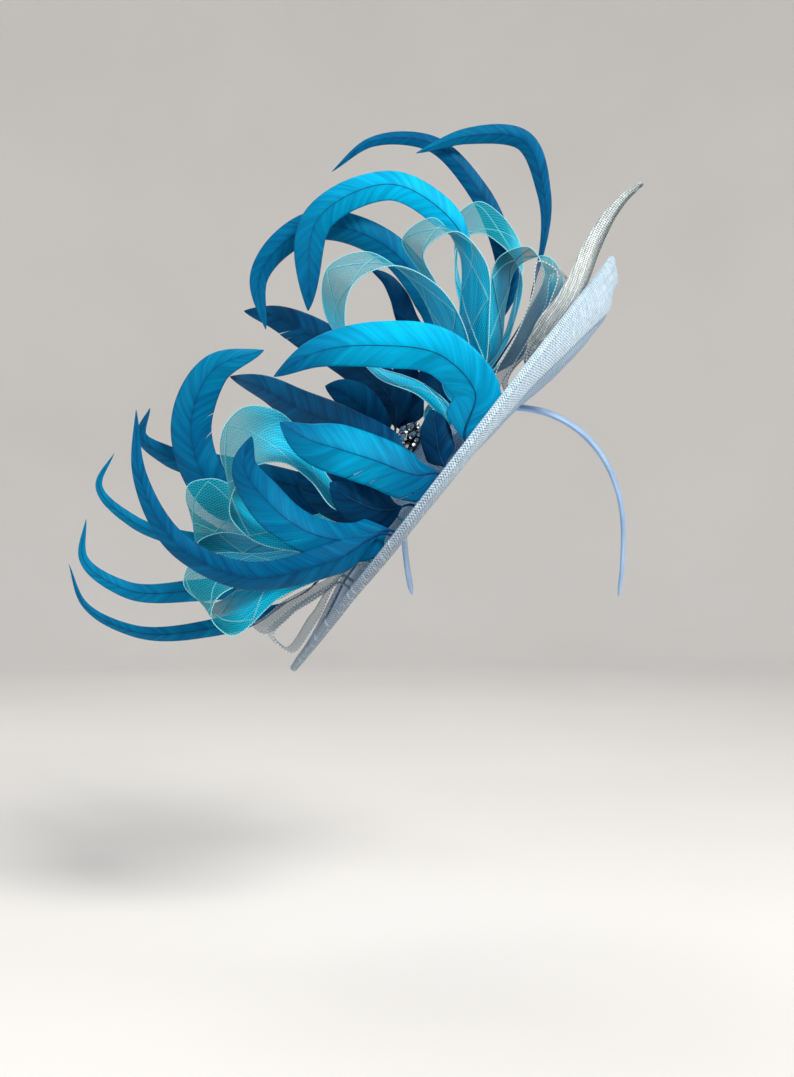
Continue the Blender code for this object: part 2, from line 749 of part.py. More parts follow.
def join_shape(target, other, operation):
    """Apply a Boolean of the other object to the target, and remove the other."""
    modifier = target.modifiers.new("join", "BOOLEAN")
    modifier.operation = operation
    modifier.solver = "EXACT"
    modifier.object = other
    bpy.context.view_layer.update()
    evaluated = target.evaluated_get(bpy.context.evaluated_depsgraph_get())
    mesh = bpy.data.meshes.new_from_object(evaluated)
    target.modifiers.clear()
    target.data = mesh
    bpy.data.objects.remove(other, do_unlink=True)


def make_brooch(skin):
    """Soldered cluster setting with a cup for each stone, and the cut stones in it."""
    plate = (
        (0.0, 0.0),
        (BROOCH_RADIUS, 0.0),
        (BROOCH_RADIUS, BROOCH_PLATE_WALL),
        (BROOCH_RADIUS - BROOCH_PLATE_BEVEL, BROOCH_PLATE),
        (0.0, BROOCH_PLATE),
    )
    setting = turned_object("brooch_setting", plate, BROOCH_SIDES, (0.0, 0.0), "dark_metal")
    stones = []
    for number, (centre, radius) in enumerate(stone_places()):
        girdle = cup_height(radius)
        cup = (
            (0.0, CUP_FOOT_HEIGHT),
            (radius * CUP_FOOT, CUP_FOOT_HEIGHT),
            (radius + CUP_RIM, girdle),
            (0.0, girdle),
        )
        join_shape(setting, turned_object("cup", cup, CUP_SIDES, centre, "dark_metal"), "UNION")
        low = girdle - radius * STONE_PAVILION
        recess = (
            (0.0, low),
            (radius + STONE_CLEARANCE, girdle - STONE_SINK),
            (radius + STONE_CLEARANCE, girdle + CUP_RIM),
            (0.0, girdle + CUP_RIM),
        )
        join_shape(setting, turned_object("recess", recess, STONE_SIDES, centre, "dark_metal"), "DIFFERENCE")
        crown = girdle + radius * STONE_CROWN
        stone = ((0.0, low + STONE_SINK), (radius, girdle), (radius * STONE_TABLE, crown), (0.0, crown))
        stones.append(turned_object(f"brooch_stone_{number:02d}", stone, STONE_SIDES, centre, "clear_stone"))
    placing = Matrix.Scale(MM, 4) @ brooch_frame(skin)
    for item in (setting, *stones):
        item.data.transform(placing)


def main():
    """Build the whole fascinator."""
    clear_scene()
    make_headband()
    skin = base_skin(make_base())
    make_binding()
    make_leaf(skin)
    for loop in LOOPS:
        make_loop(skin, loop)
    for feather in FEATHERS:
        make_feather(skin, feather)
    make_brooch(skin)


main()
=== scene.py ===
"""Looks of the fascinator: woven sinamay, sheer crin, curled feathers, satin band and stone brooch."""

import math
import random
from collections import namedtuple
from itertools import accumulate

import bmesh
import bpy
from mathutils import Matrix, Vector
from mathutils.bvhtree import BVHTree


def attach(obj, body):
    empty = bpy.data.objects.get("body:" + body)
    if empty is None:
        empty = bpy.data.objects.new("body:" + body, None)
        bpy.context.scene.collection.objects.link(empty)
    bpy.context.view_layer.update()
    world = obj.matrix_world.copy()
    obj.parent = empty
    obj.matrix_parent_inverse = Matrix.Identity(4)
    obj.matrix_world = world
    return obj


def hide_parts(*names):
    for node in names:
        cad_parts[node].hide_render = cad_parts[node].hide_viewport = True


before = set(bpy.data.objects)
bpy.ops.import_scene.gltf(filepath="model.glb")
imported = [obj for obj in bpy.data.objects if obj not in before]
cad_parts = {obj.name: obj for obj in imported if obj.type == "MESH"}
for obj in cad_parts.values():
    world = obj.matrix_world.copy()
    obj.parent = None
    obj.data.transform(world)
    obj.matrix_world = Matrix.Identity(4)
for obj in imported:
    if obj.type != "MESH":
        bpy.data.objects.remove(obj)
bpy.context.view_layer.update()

# Sizes are millimetres until a mesh is made. The origin is the inside top of the headband.
MM = 0.001
SEAM_GAP = 0.5
WELD_DISTANCE = 0.004

# Front drawing: an eye level with the face, turned a little to the wearer's right, sees each place
# as (across, up) on an upright plane through the origin, and (behind) is its depth past that plane.
EYE_TURN = math.radians(13.0)
EYE_DISTANCE = 900.0
EYE_ACROSS = -71.0
EYE_UP = -81.6
RIGHT = Vector((math.cos(EYE_TURN), math.sin(EYE_TURN), 0.0))
FORWARD = Vector((-math.sin(EYE_TURN), math.cos(EYE_TURN), 0.0))
UP = Vector((0.0, 0.0, 1.0))

# Camera, floor and light
LENS = 47.0
SENSOR_WIDTH = 36.0
FLOOR_HEIGHT = -330.0
FLOOR_RADIUS = 1900.0
COVE_RADIUS = 900.0
COVE_STEPS = 16
WALL_HEIGHT = 1900.0
STAGE_SIDES = 96
ROOM_COLOUR = (0.92, 0.94, 0.97, 1.0)
ROOM_STRENGTH = 0.42
LIGHT_AIM_M = (-0.09, 0.0, 0.0)
AreaLight = namedtuple("AreaLight", "name right forward up size power colour")
LIGHTS = (
    AreaLight("key_light", 0.75, -1.1, 1.25, 0.6, 34.0, (1.0, 0.97, 0.93)),
    AreaLight("fill_light", -1.3, -1.05, 0.55, 1.2, 7.0, (0.93, 0.97, 1.0)),
    AreaLight("back_light", -0.6, 1.0, 1.4, 1.0, 9.0, (1.0, 0.98, 0.95)),
)

# Headband
BAND_HALF_WIDTH = 73.5
BAND_WIDEST_DROP = 76.0
BAND_RISE = 79.0
BAND_LEG_CURL = 134.0
BAND_LEG_END = 42.0
BAND_SQUARENESS = 2.15
BAND_LEAN = math.radians(12.0)
BAND_BREADTH_TOP = 11.0
BAND_BREADTH_END = 8.0
BAND_THICK_TOP = 4.2
BAND_THICK_END = 3.2
BAND_STATIONS = 181
BAND_SIDES = 20
BAND_CLOTH_STEP = 1.4
BAND_TUCK_START = 0.35
BAND_TUCK_STATIONS = 2.5
BAND_PUCKERS = ((0.018, 1.9), (0.012, 0.83))
BAND_ROUND_WIDE = 0.75
BAND_ROUND_THICK = 0.9
BAND_FLAT_INSIDE = -0.8
WEFT_SLANT = math.radians(62.0)
WEFT_SPACING = 0.35

# Saucer base: a leaf-shaped plan that tilts down to the wearer's right
BASE_LENGTH = 332.0
BASE_WIDTH = 200.0
BASE_POINTEDNESS = 0.8
BASE_TILT = math.radians(52.15)
BASE_CENTRE = (-35.0, -34.0)
BASE_WALL = 1.8
BASE_AROUND = 224
BASE_RINGS = (0.99, 0.975, 0.95, 0.92, 0.88, 0.83, 0.78, 0.72, 0.66, 0.60, 0.54, 0.48, 0.42, 0.36, 0.30,
              0.24, 0.18, 0.12, 0.06)
RIM_BLUNTNESS = 0.994
RIM_CROWDING = 0.8
SEAT_SEARCH_HEIGHT = 60.0
TROUGH_TURN = 6
FAR_LIFT = 12.0
FAR_LIFT_AT = -95.0
FAR_LIFT_SPREAD = 45.0
DOME_RISE = 43.5
DOME_AT = -4.0
DOME_LONG = 44.0
DOME_CROSS = 38.0

# Binding
BINDING_CLOTH = 1.1
BINDING_GAP = 0.35
BINDING_EDGE = 0.92
BINDING_PUFF = 0.7
BINDING_TUCK = 0.2
BINDING_LEG_REACH = 0.985
BINDING_ROLL_DEPTH = 0.8
BINDING_ROLL_SHARE = 0.4
BINDING_FOLD_SHARE = 0.1
BINDING_PUFF_START = 0.1
BINDING_STRIP_WIDTH = 10.0
BINDING_LEG_STEPS = 5
BINDING_ROLL_STEPS = 6
# Painted shade: the binding is painted darker towards its lower end, from this place along the base over
# this distance.
SHADE_FROM = 40.0
SHADE_OVER = 150.0

# Woven sinamay: the straws drift from their ruled lines. Thread crowns and the brightest streaks are
# painted in the highlight colour, a painted highlight and glint, and the gaps between threads are painted
# darker, a painted shade; the shade tint is a painted shade multiplied in where a piece marks it.
Weave = namedtuple("Weave", "name gap thread spark dull spacing sparkle bias")
FINE_WEAVE = Weave("sinamay_fine", (0.09, 0.18, 0.30), (0.22, 0.38, 0.57), (0.43, 0.62, 0.82),
                   (0.5, 0.5, 0.5), 1.5, 0.2, 0.0)
COARSE_WEAVE = Weave("sinamay_coarse", (0.08, 0.15, 0.24), (0.26, 0.42, 0.57), (0.70, 0.86, 0.97),
                     (0.50, 0.49, 0.53), 1.3, 0.45, math.radians(45.0))
SILVER_WEAVE = Weave("sinamay_silver", (0.07, 0.09, 0.10), (0.34, 0.41, 0.42), (0.82, 0.89, 0.89),
                     (0.20, 0.24, 0.27), 1.3, 0.4, 0.0)
STRAW_DRIFT = 1.2
STRAW_ROUGHNESS = 0.62
GLINT_LIMIT = 0.61
GLINT_POLISH = 0.35

# Crin loops, and how finely their curves are followed
CURVE_FINENESS = 24
STEM = 7.0
LOOP_ROWS = 150
LOOP_COLUMNS = 12
CRIN_FOOT_WIDTH = 10.0
CRIN_GATHERED = 0.5
CRIN_OPENING_RATE = 3.2
CRIN_BOW = 1.6
CRIN_CROWN_SHARE = 0.04
CRIN_CLOSED_SHARE = 0.26
CORD_FINENESS = 3
CORD_SIDES = 5
LATTICE_RADIUS = 0.46
LATTICE_SIDES = 4
LATTICE_PERIOD = 78.0
LATTICE_STARTS = (0.0, 0.5)
LATTICE_INSET = 0.04
LATTICE_LIFT = 0.3

# Crin net: the alphas and colours run from its gaps to its filaments, the packed colours from dark
# to bright streaks, and the closed figures say how far a gathered strip may close up.
Net = namedtuple(
    "Net", "name gap_alpha thread_alpha sheer packed spacing limb_closed most_closed cord_radius"
)
TURQUOISE_NET = Net("crin_turquoise_net", 0.54, 0.86, ((0.0, 0.12, 0.18), (0.0, 0.36, 0.46)),
                    ((0.0, 0.18, 0.32), (0.0, 0.44, 0.70), (0.01, 0.70, 0.92)), 1.9, 4.0, 6.5, 0.34)
GREY_NET = Net("crin_grey_net", 0.14, 0.62, ((0.10, 0.14, 0.17), (0.38, 0.47, 0.54)),
               ((0.08, 0.12, 0.145), (0.16, 0.215, 0.25), (0.40, 0.48, 0.53)), 1.9, 1.3, 1.8, 0.30)
FILAMENT_SLANT = math.radians(36.0)
FILAMENT_DRIFT = 2.0
FILAMENT_THINNESS = 4.0
PACKED_CLOSENESS = 3.2
LEAST_GAP = 0.02

# Feathers
FEATHER_STEM = 3.0
FEATHER_STATIONS = 400
VANE_ROWS = 150
VANE_COLUMNS = 9
VANE_CLOTH = 0.25
VANE_TIP_ROUNDNESS = 1.8
VANE_TIP_POINT = 0.8
VANE_BOW_POWER = 1.7
VANE_SWAY = 12.0
VANE_SWAY_RATE = 6.0
VANE_RIPPLE = 0.05
VANE_RIPPLE_RATE = 0.13
VANE_ROUGHNESS = 0.34
ANY_PHASE = (0.0, 6.0)
BARB_SPACING = 0.9
BARB_SWEEP = 1.15
BARB_SWEEP_AT_TIP = 0.8
TORN_SHARE = 0.045
TORN_WIDTH = 22.0
CLUMP_ROWS = (4, 18)
CLUMP_DRAW = (0.04, 0.16)
CLUMP_RAGGED = (-0.03, 0.03)
CLUMP_LIFT = (-0.35, 0.35)
CLUMP_FREE_FROM = (0.25, 0.6)
TONE_MIDDLE = 0.55
VANE_TONE_COLOURS = (
    (0.0, (0.0, 0.010, 0.040)),
    (0.18, (0.0, 0.034, 0.11)),
    (0.38, (0.0, 0.092, 0.23)),
    (0.60, (0.0, 0.19, 0.375)),
    (0.80, (0.0, 0.335, 0.60)),
    (1.0, (0.0, 0.54, 0.91)),
)
QUILL_STEPS = 90
QUILL_SIDES = 7
QUILL_ROOT = 0.8
QUILL_FINE = 0.27
QUILL_END = 0.985
QUILL_TAPER = 0.75
QUILL_THINS_OVER = 0.2
QUILL_SHADOW = 0.10
QUILL_SHADOW_POWER = 6

# Brooch
BROOCH_SEAT = (-9.0, -14.0)
BROOCH_RADIUS = 13.5
BROOCH_PLATE = 2.2
METAL_ROUGHNESS = 0.16
CHIP_SIDES = 8
CHIP_PROFILE = ((0.5, -0.5), (1.0, 0.0), (0.6, 0.42))
ChipRing = namedtuple("ChipRing", "count start out height tilt radius")
CHIP_RINGS = (
    ChipRing(24, 0.5, BROOCH_RADIUS + 0.6, BROOCH_PLATE + 0.6, 38.0, 1.5),
    ChipRing(14, 0.25, 6.4, BROOCH_PLATE + 3.6, 14.0, 1.2),
)

# The saucer's depth below its rim line (second) at distances along it (first)
TROUGHS = ((-166, 0.0), (-110, 4.0), (-57, 8.0), (0, 11.5), (45, 15.0), (95, 20.0), (127, 19.0),
           (150, 10.0), (166, 0.0))

# A feather runs from its seat on the base through four places of the front drawing to its tip. Its
# tones run from 0, navy, to 1, bright turquoise, at its root, middle and tip, and hold painted shade and
# painted light along it as well as its dye; its bow is how far the vane's edges fall back, and its roll
# turns the whole vane about the quill.
Feather = namedtuple(
    "Feather", "name seat rise bend crest turn tip depth tip_depth width bare opens closes tones bow roll"
)
FEATHERS = [Feather("feather_" + name, *row) for name, *row in (
    ("upper_front", (10, -70), (-21, 12), (-40, 34), (-83, 42), (-124, 37), (-150, 22),
     -72, -66, 29, 0.00, 0.11, 0.50, (0.62, 0.94, 0.36), 0.30, 10),
    ("middle_front", (-14, -72), (-58, -41), (-84, -32), (-106, -25), (-128, -18), (-146, -7),
     -76, -74, 30, 0.00, 0.14, 0.62, (0.36, 0.74, 0.42), 0.34, -12),
    ("middle_back", (-32, -56), (-70, -33), (-107, -9), (-132, 1), (-158, 15), (-178, 22),
     -58, 42, 24, 0.06, 0.16, 0.55, (0.20, 0.30, 0.32), 0.20, 12),
    ("side_arch", (-50, 36), (-140, -62), (-184, -55), (-203, -10), (-188, 27), (-156, 39),
     38, 28, 27, 0.12, 0.16, 0.72, (0.14, 0.42, 0.60), 0.30, 8),
    ("low_front", (-60, -74), (-110, -95), (-170, -106), (-211, -86), (-236, -40), (-238, 1),
     -84, -78, 19, 0.02, 0.16, 0.20, (0.38, 0.34, 0.42), 0.30, 6),
    ("side_far", (-58, 46), (-130, -50), (-190, -36), (-218, -29), (-235, -16), (-229, 2),
     48, 48, 20, 0.14, 0.16, 0.50, (0.28, 0.40, 0.36), 0.25, 10),
    ("side_left", (-66, 38), (-130, -80), (-205, -83), (-240, -71), (-262, -47), (-252, -27),
     42, 40, 14, 0.20, 0.16, 0.30, (0.34, 0.52, 0.58), 0.30, 8),
    ("low_left", (-74, 4), (-140, -106), (-200, -115), (-245, -114), (-272, -94), (-270, -69),
     14, 14, 15, 0.25, 0.16, 0.40, (0.36, 0.50, 0.60), 0.30, 8),
    ("low_end", (-80, 12), (-130, -116), (-190, -139), (-240, -141), (-272, -123),
     (-281, -98), 20, 18, 12, 0.25, 0.16, 0.35, (0.34, 0.44, 0.50), 0.30, 8),
    ("top_arch", (22, 62), (0, 90), (-18, 140), (-50, 172), (-88, 172), (-113, 153),
     70, 68, 15, 0.25, 0.16, 0.50, (0.26, 0.32, 0.42), 0.30, 8),
    ("top_stem", (38, 58), (14, 70), (23, 140), (10, 173), (-25, 176), (-59, 165),
     58, 62, 18, 0.28, 0.62, 0.62, (0.18, 0.34, 0.52), 0.30, 8),
    ("top_bright", (24, 16), (-21, 45), (-36, 122), (-73, 145), (-120, 125), (-128, 64),
     26, 20, 20, 0.34, 0.16, 0.84, (0.50, 0.90, 0.38), 0.34, 8),
    ("top_teal", (-2, 32), (-50, 70), (-80, 107), (-125, 118), (-159, 86), (-155, 52),
     38, 38, 20, 0.22, 0.16, 0.66, (0.30, 0.50, 0.42), 0.30, 8),
    ("inner_upper", (18, -4), (-50, 36), (-64, 58), (-70, 74), (-77, 84), (-88, 91),
     5, 4, 14, 0.20, 0.16, 0.62, (0.16, 0.18, 0.16), 0.25, 6),
    ("inner_middle", (-12, 12), (-72, 3), (-95, 28), (-122, 47), (-147, 60), (-169, 64),
     13, 56, 25, 0.06, 0.16, 0.62, (0.12, 0.20, 0.30), 0.25, 6),
    ("inner_short", (-24, 4), (-84, -18), (-90, -5), (-97, 5), (-106, 12), (-117, 16),
     6, 6, 26, 0.16, 0.16, 0.62, (0.12, 0.30, 0.34), 0.25, 6),
    ("inner_broad", (-8, 21), (-67, -9), (-67, 2), (-67, 13), (-67, 23), (-71, 33),
     20, 20, 28, 0.16, 0.20, 0.62, (0.10, 0.14, 0.18), 0.25, 6),
    ("inner_root", (14, -8), (-43, 3), (-43, 10), (-45, 17), (-49, 24), (-55, 31),
     -8, -8, 27, 0.10, 0.36, 0.62, (0.10, 0.14, 0.16), 0.25, 6),
    ("inner_corner", (-9, -69), (-43, -30), (-45, -22), (-46, -14), (-47, -7), (-49, 1),
     -68, -68, 19, 0.00, 0.30, 0.62, (0.10, 0.12, 0.14), 0.25, 6),
    ("lower_root", (-38, -66), (-74, -63), (-83, -63), (-92, -60), (-102, -55), (-114, -46),
     -67, -67, 27, 0.12, 0.20, 0.62, (0.08, 0.12, 0.20), 0.25, 6),
    ("lower_back", (-44, -22), (-90, -60), (-99, -58), (-109, -55), (-121, -48), (-134, -38),
     -26, -26, 32, 0.12, 0.20, 0.62, (0.14, 0.22, 0.28), 0.25, 6),
    ("inner_lower", (-57, -68), (-96, -83), (-124, -79), (-154, -58), (-169, -34),
     (-164, -16), -75, -74, 24, 0.02, 0.12, 0.62, (0.40, 0.52, 0.34), 0.34, -8),
)]

# A loop rises from its out seat, turns over its crown and comes back to its in seat. It is a strip of
# crin that starts at the given depth and runs back by its reach; its far edge leans (across, up) by
# three amounts, on its out limb, over its crown and on its in limb.
Loop = namedtuple(
    "Loop", "name out_seat path in_seat out_depth in_depth reach out_lean crown_lean in_lean grey"
)
LOOPS = [Loop(*row) for row in (
    ("crin_loop_top_left", (22, -58),
     ((-25, 12), (-26, 48), (-46, 81), (-73, 93), (-99, 81), (-104, 54), (-84, 22), (-56, 9), (-42, -6)),
     (4, -56), -52, -52, 40, (-26, 0), (-17, 10), (16, 8), False),
    ("crin_loop_top_middle", (28, -44),
     ((-16, 20), (-12, 58), (-15, 97), (-34, 115), (-54, 101), (-46, 82), (-33, 60), (-27, 34)),
     (10, 18), -46, -2, 34, (-26, 0), (-14, 9), (-3, 6), False),
    ("crin_loop_top_right", (36, -34),
     ((-1, 36), (12, 62), (23, 90), (13, 105), (-6, 98), (-12, 76), (-14, 40)),
     (34, 2), -40, 2, 34, (13, -3), (12, -6), (12, -4), False),
    ("crin_loop_top_back", (34, 44),
     ((2, 50), (8, 90), (-4, 106), (-19, 114), (-31, 108), (-34, 88), (-27, 50)),
     (12, 46), 44, 44, 20, (0, 14), (0, 20), (0, 14), False),
    ("grey_crin_loop_upper", (42, -60),
     ((-9, 18), (6, 50), (16, 76), (20, 96), (31, 90), (27, 70), (12, 44)),
     (50, -50), -52, -52, 24, (5, -3), (9, -8), (7, -5), True),
    ("crin_loop_side_front", (-48, -58),
     ((-112, -62), (-127, -44), (-144, -33), (-161, -35), (-175, -50), (-178, -66), (-167, -80),
      (-134, -90)),
     (-66, -58), -62, -62, 30, (2, 22), (-8, 38), (2, 26), False),
    ("crin_loop_side_back", (-46, -6),
     ((-130, -84), (-165, -80), (-185, -78), (-199, -85), (-200, -94), (-186, -102), (-140, -100)),
     (-62, -6), -14, -14, 30, (0, 22), (-6, 37), (-4, 26), False),
    ("crin_loop_low", (-72, -42),
     ((-118, -97), (-152, -108), (-174, -112), (-187, -121), (-190, -132), (-180, -143), (-145, -119),
      (-116, -106)),
     (-82, -50), -60, -60, 30, (-4, 16), (-18, 22), (-6, 16), False),
    ("grey_crin_loop_middle", (-76, -30),
     ((-112, -102), (-142, -118), (-166, -134), (-158, -142), (-134, -127), (-114, -114)),
     (-98, -26), -18, -18, 22, (-7, 6), (-8, 7), (-7, 6), True),
    ("grey_crin_loop_low", (-86, -62),
     ((-114, -112), (-140, -132), (-150, -144), (-139, -155), (-122, -134)),
     (-102, -46), -48, -36, 18, (0, 0), (-4, 3), (-6, 5), True),
)]

# The leaf's rows run from its foot to its tip.
LeafRow = namedtuple("LeafRow", "across up behind half_width turn")
LEAF_ROWS = (
    LeafRow(18, 18, -64, 2.0, -60),
    LeafRow(17, 31, -65, 7.0, -50),
    LeafRow(26, 49, -64, 10.2, -42),
    LeafRow(40, 69, -55, 9.0, -36),
    LeafRow(48, 87, -47, 7.2, -34),
    LeafRow(56, 108, -41, 5.4, -20),
    LeafRow(66, 126, -40, 3.4, -8),
    LeafRow(75, 137, -38, 2.2, 0),
    LeafRow(86, 146, -36, 0.9, 10),
)
LEAF_SEAT = (66, -64)
LEAF_STEM = 1.0
LEAF_WALL = 1.2
LEAF_ROWS_FINE = 110
LEAF_COLUMNS = 14
LEAF_FOLD = 0.35
LEAF_FOLD_POWER = 1.2
LEAF_RIB = 0.22
# Painted shade: one half of the leaf and its foot are painted darker, the foot over this many rows.
LEAF_SHADE_SIDE = 0.15
LEAF_FOOT_SHADE = 0.9
LEAF_FOOT_ROWS = 70


# Shader building


class Value:
    """Output of a shader node, which takes part in sums, products and powers."""

    def __init__(self, socket):
        self.socket = socket

    def __add__(self, other):
        return calculate("ADD", self, other)

    def __sub__(self, other):
        return calculate("SUBTRACT", self, other)

    def __rsub__(self, other):
        return calculate("SUBTRACT", other, self)

    def __mul__(self, other):
        return calculate("MULTIPLY", self, other)

    def __pow__(self, other):
        return calculate("POWER", self, other)


def add_node(tree, kind, inputs, **settings):
    """A shader node; each input is a number, a colour or the value that feeds it."""
    made = tree.nodes.new(kind)
    for key, value in settings.items():
        setattr(made, key, value)
    for key, value in inputs.items():
        if isinstance(value, Value):
            tree.links.new(value.socket, made.inputs[key])
        else:
            made.inputs[key].default_value = (*value, 1.0) if isinstance(value, tuple) else value
    return made


def calculate(operation, *values):
    """Value of a Math node."""
    tree = next(value.socket.id_data for value in values if isinstance(value, Value))
    return Value(add_node(tree, "ShaderNodeMath", dict(enumerate(values)), operation=operation).outputs[0])


class Finish:
    """A material being made: its node tree and its Principled shader, with constant sockets set."""

    def __init__(self, name, **constants):
        self.material = bpy.data.materials.new(name)
        self.material.use_nodes = True
        self.tree = self.material.node_tree
        self.shader = self.tree.nodes["Principled BSDF"]
        for key, value in constants.items():
            self.shader.inputs[key.replace("_", " ")].default_value = value

    def output(self, socket, kind, inputs, **settings):
        """One output of a new node."""
        return Value(add_node(self.tree, kind, inputs, **settings).outputs[socket])

    def feed(self, socket, value):
        """Drive one socket of the shader."""
        self.tree.links.new(value.socket, self.shader.inputs[socket])

    def cloth_places(self):
        """The two distances, in millimetres, that lie on a strip or sheet."""
        layout = self.output("UV", "ShaderNodeUVMap", {}, uv_map="cloth")
        split = add_node(self.tree, "ShaderNodeSeparateXYZ", {"Vector": layout})
        return [Value(split.outputs[axis]) * (1.0 / MM) for axis in "XY"]

    def attribute(self, name):
        """The soft value stored at the mesh's points."""
        return self.output("Fac", "ShaderNodeAttribute", {}, attribute_name=name)

    def noise(self, where, scale, detail):
        """Noise between 0 and 1."""
        return self.output("Fac", "ShaderNodeTexNoise", {"Vector": where, "Scale": scale, "Detail": detail})

    def cloth_noise(self, places, grains, detail=2.0):
        """Noise over two distances, each with its own grain in changes per millimetre."""
        first, second = [place * grain for place, grain in zip(places, grains)]
        where = self.output(0, "ShaderNodeCombineXYZ", {"X": first, "Y": second})
        return self.noise(where, 1.0, detail)

    def object_noise(self, scale, detail=2.0):
        """Noise over the object's own space."""
        return self.noise(self.output("Object", "ShaderNodeTexCoord", {}), scale, detail)

    def ramp(self, value, *stops):
        """Colour of a ramp at a value; stops are (place, colour)."""
        made = add_node(self.tree, "ShaderNodeValToRGB", {"Fac": value})
        marks = made.color_ramp.elements
        for mark, (where, colour) in zip(marks, (stops[0], stops[-1])):
            mark.position = where
            mark.color = (*colour, 1.0)
        for where, colour in stops[1:-1]:
            marks.new(where).color = (*colour, 1.0)
        return Value(made.outputs["Color"])

    def paint(self, value, *stops):
        """Drive the shader's colour by a ramp."""
        self.feed("Base Color", self.ramp(value, *stops))

    def mix(self, share, low, high, blend="MIX"):
        """Mix of two colours."""
        inputs = {0: share, 6: low, 7: high}
        return self.output(2, "ShaderNodeMix", inputs, data_type="RGBA", blend_type=blend)

    def bump(self, height, strength, distance):
        """Feed a height into the shader's normal."""
        inputs = {"Height": height, "Strength": strength, "Distance": distance}
        self.feed("Normal", self.output("Normal", "ShaderNodeBump", inputs))


def wave(place, spacing):
    """Wave with one swing to each thread."""
    return calculate("SINE", place * (math.pi / spacing))


def threads(place, spacing):
    """1 on the crown of each thread and 0 between threads."""
    return calculate("ABSOLUTE", wave(place, spacing))


def slanted(places, angle):
    """Distance across threads that lie at an angle to the first axis."""
    return places[0] * math.sin(angle) + places[1] * math.cos(angle)


def shifted(value, noise, amount, middle=0.5):
    """A value moved up and down by noise round its middle."""
    return value + (noise - middle) * amount


# Materials


def sinamay_material(weave):
    """Plain weave of stiff straw threads, its grain turned by the bias."""
    finish = Finish(weave.name, Sheen_Weight=0.25, Sheen_Roughness=0.4)
    places = finish.cloth_places()
    drift = finish.cloth_noise(places, (0.12, 0.12))
    across = (
        shifted(slanted(places, weave.bias), drift, STRAW_DRIFT),
        shifted(slanted(places, weave.bias - math.pi / 2.0), drift, -STRAW_DRIFT),
    )
    swings = [wave(place, weave.spacing) for place in across]
    crowns = [calculate("ABSOLUTE", swing) for swing in swings]
    over = calculate("GREATER_THAN", swings[0] * swings[1], 0.0)
    height = finish.output(0, "ShaderNodeMix", {0: over, 2: crowns[0], 3: crowns[1]}, data_type="FLOAT")
    blotches = finish.cloth_noise(places, (0.35, 0.35), 3.0)
    # Thread crowns are painted lighter and the gaps between them darker: a painted highlight and painted
    # shade over the weave.
    lit = height * 0.75 + blotches * 0.45
    colour = finish.ramp(lit, (0.18, weave.gap), (0.62, weave.thread), (0.95, weave.spark))
    straw = finish.cloth_noise(across, (0.9, 0.10))
    # The brightest straw streaks are painted in the highlight colour, a painted glint, and are made
    # glossier there too.
    glint = calculate("GREATER_THAN", straw, GLINT_LIMIT) * weave.sparkle
    # Where a piece marks it, the colour is multiplied by the weave's shade tint: a painted shade.
    colour = finish.mix(finish.attribute("dulled"), colour, weave.dull, "MULTIPLY")
    finish.feed("Base Color", finish.mix(glint, colour, weave.spark))
    finish.feed("Roughness", STRAW_ROUGHNESS - glint * GLINT_POLISH)
    finish.bump(height, strength=0.7, distance=0.0006)
    return finish.material


def crin_material(crin):
    """Sheer net of fine filaments; where the strip is gathered it closes up and its dye deepens."""
    finish = Finish(crin.name, Roughness=0.45, Specular_IOR_Level=0.2)
    places = finish.cloth_places()
    drift = finish.cloth_noise(places, (0.05, 0.05))
    crowns = []
    for angle in (FILAMENT_SLANT, -FILAMENT_SLANT):
        across = shifted(slanted(places, angle), drift, FILAMENT_DRIFT)
        crowns.append(threads(across, crin.spacing) ** FILAMENT_THINNESS)
    net = calculate("MAXIMUM", *crowns)
    streaks = finish.cloth_noise(places, (0.02, 0.55), 3.0)
    closeness = finish.attribute("closeness")
    opening = {"Value": closeness, "From Min": 1.0, "From Max": PACKED_CLOSENESS}
    packed = finish.output("Result", "ShaderNodeMapRange", opening, interpolation_type="SMOOTHSTEP")
    cover = shifted(net * (crin.thread_alpha - crin.gap_alpha) + crin.gap_alpha, streaks, 0.35)
    gaps = calculate("MINIMUM", calculate("MAXIMUM", 1.0 - cover, LEAST_GAP), 1.0)
    finish.feed("Alpha", 1.0 - gaps ** closeness)
    dyed = finish.ramp(net * 0.35 + streaks * 0.65, *zip((0.30, 0.52, 0.72), crin.packed))
    finish.feed("Base Color", finish.mix(packed, finish.mix(net, *crin.sheer), dyed))
    finish.bump(streaks, strength=0.35, distance=0.0006)
    return finish.material


def cord_material(name, low_colour, high_colour, alpha, beading):
    """Pale cord or lattice thread, with stitches along it."""
    finish = Finish(name, Roughness=0.5, Specular_IOR_Level=0.25)
    places = finish.cloth_places()
    stitch = threads(places[0], beading)
    shade = finish.cloth_noise(places, (0.3, 0.3))
    finish.paint(stitch * 0.6 + shade * 0.4, (0.2, low_colour), (0.7, high_colour))
    finish.feed("Alpha", stitch * (1.0 - alpha) + alpha)
    finish.bump(stitch, strength=0.4, distance=0.0003)
    return finish.material


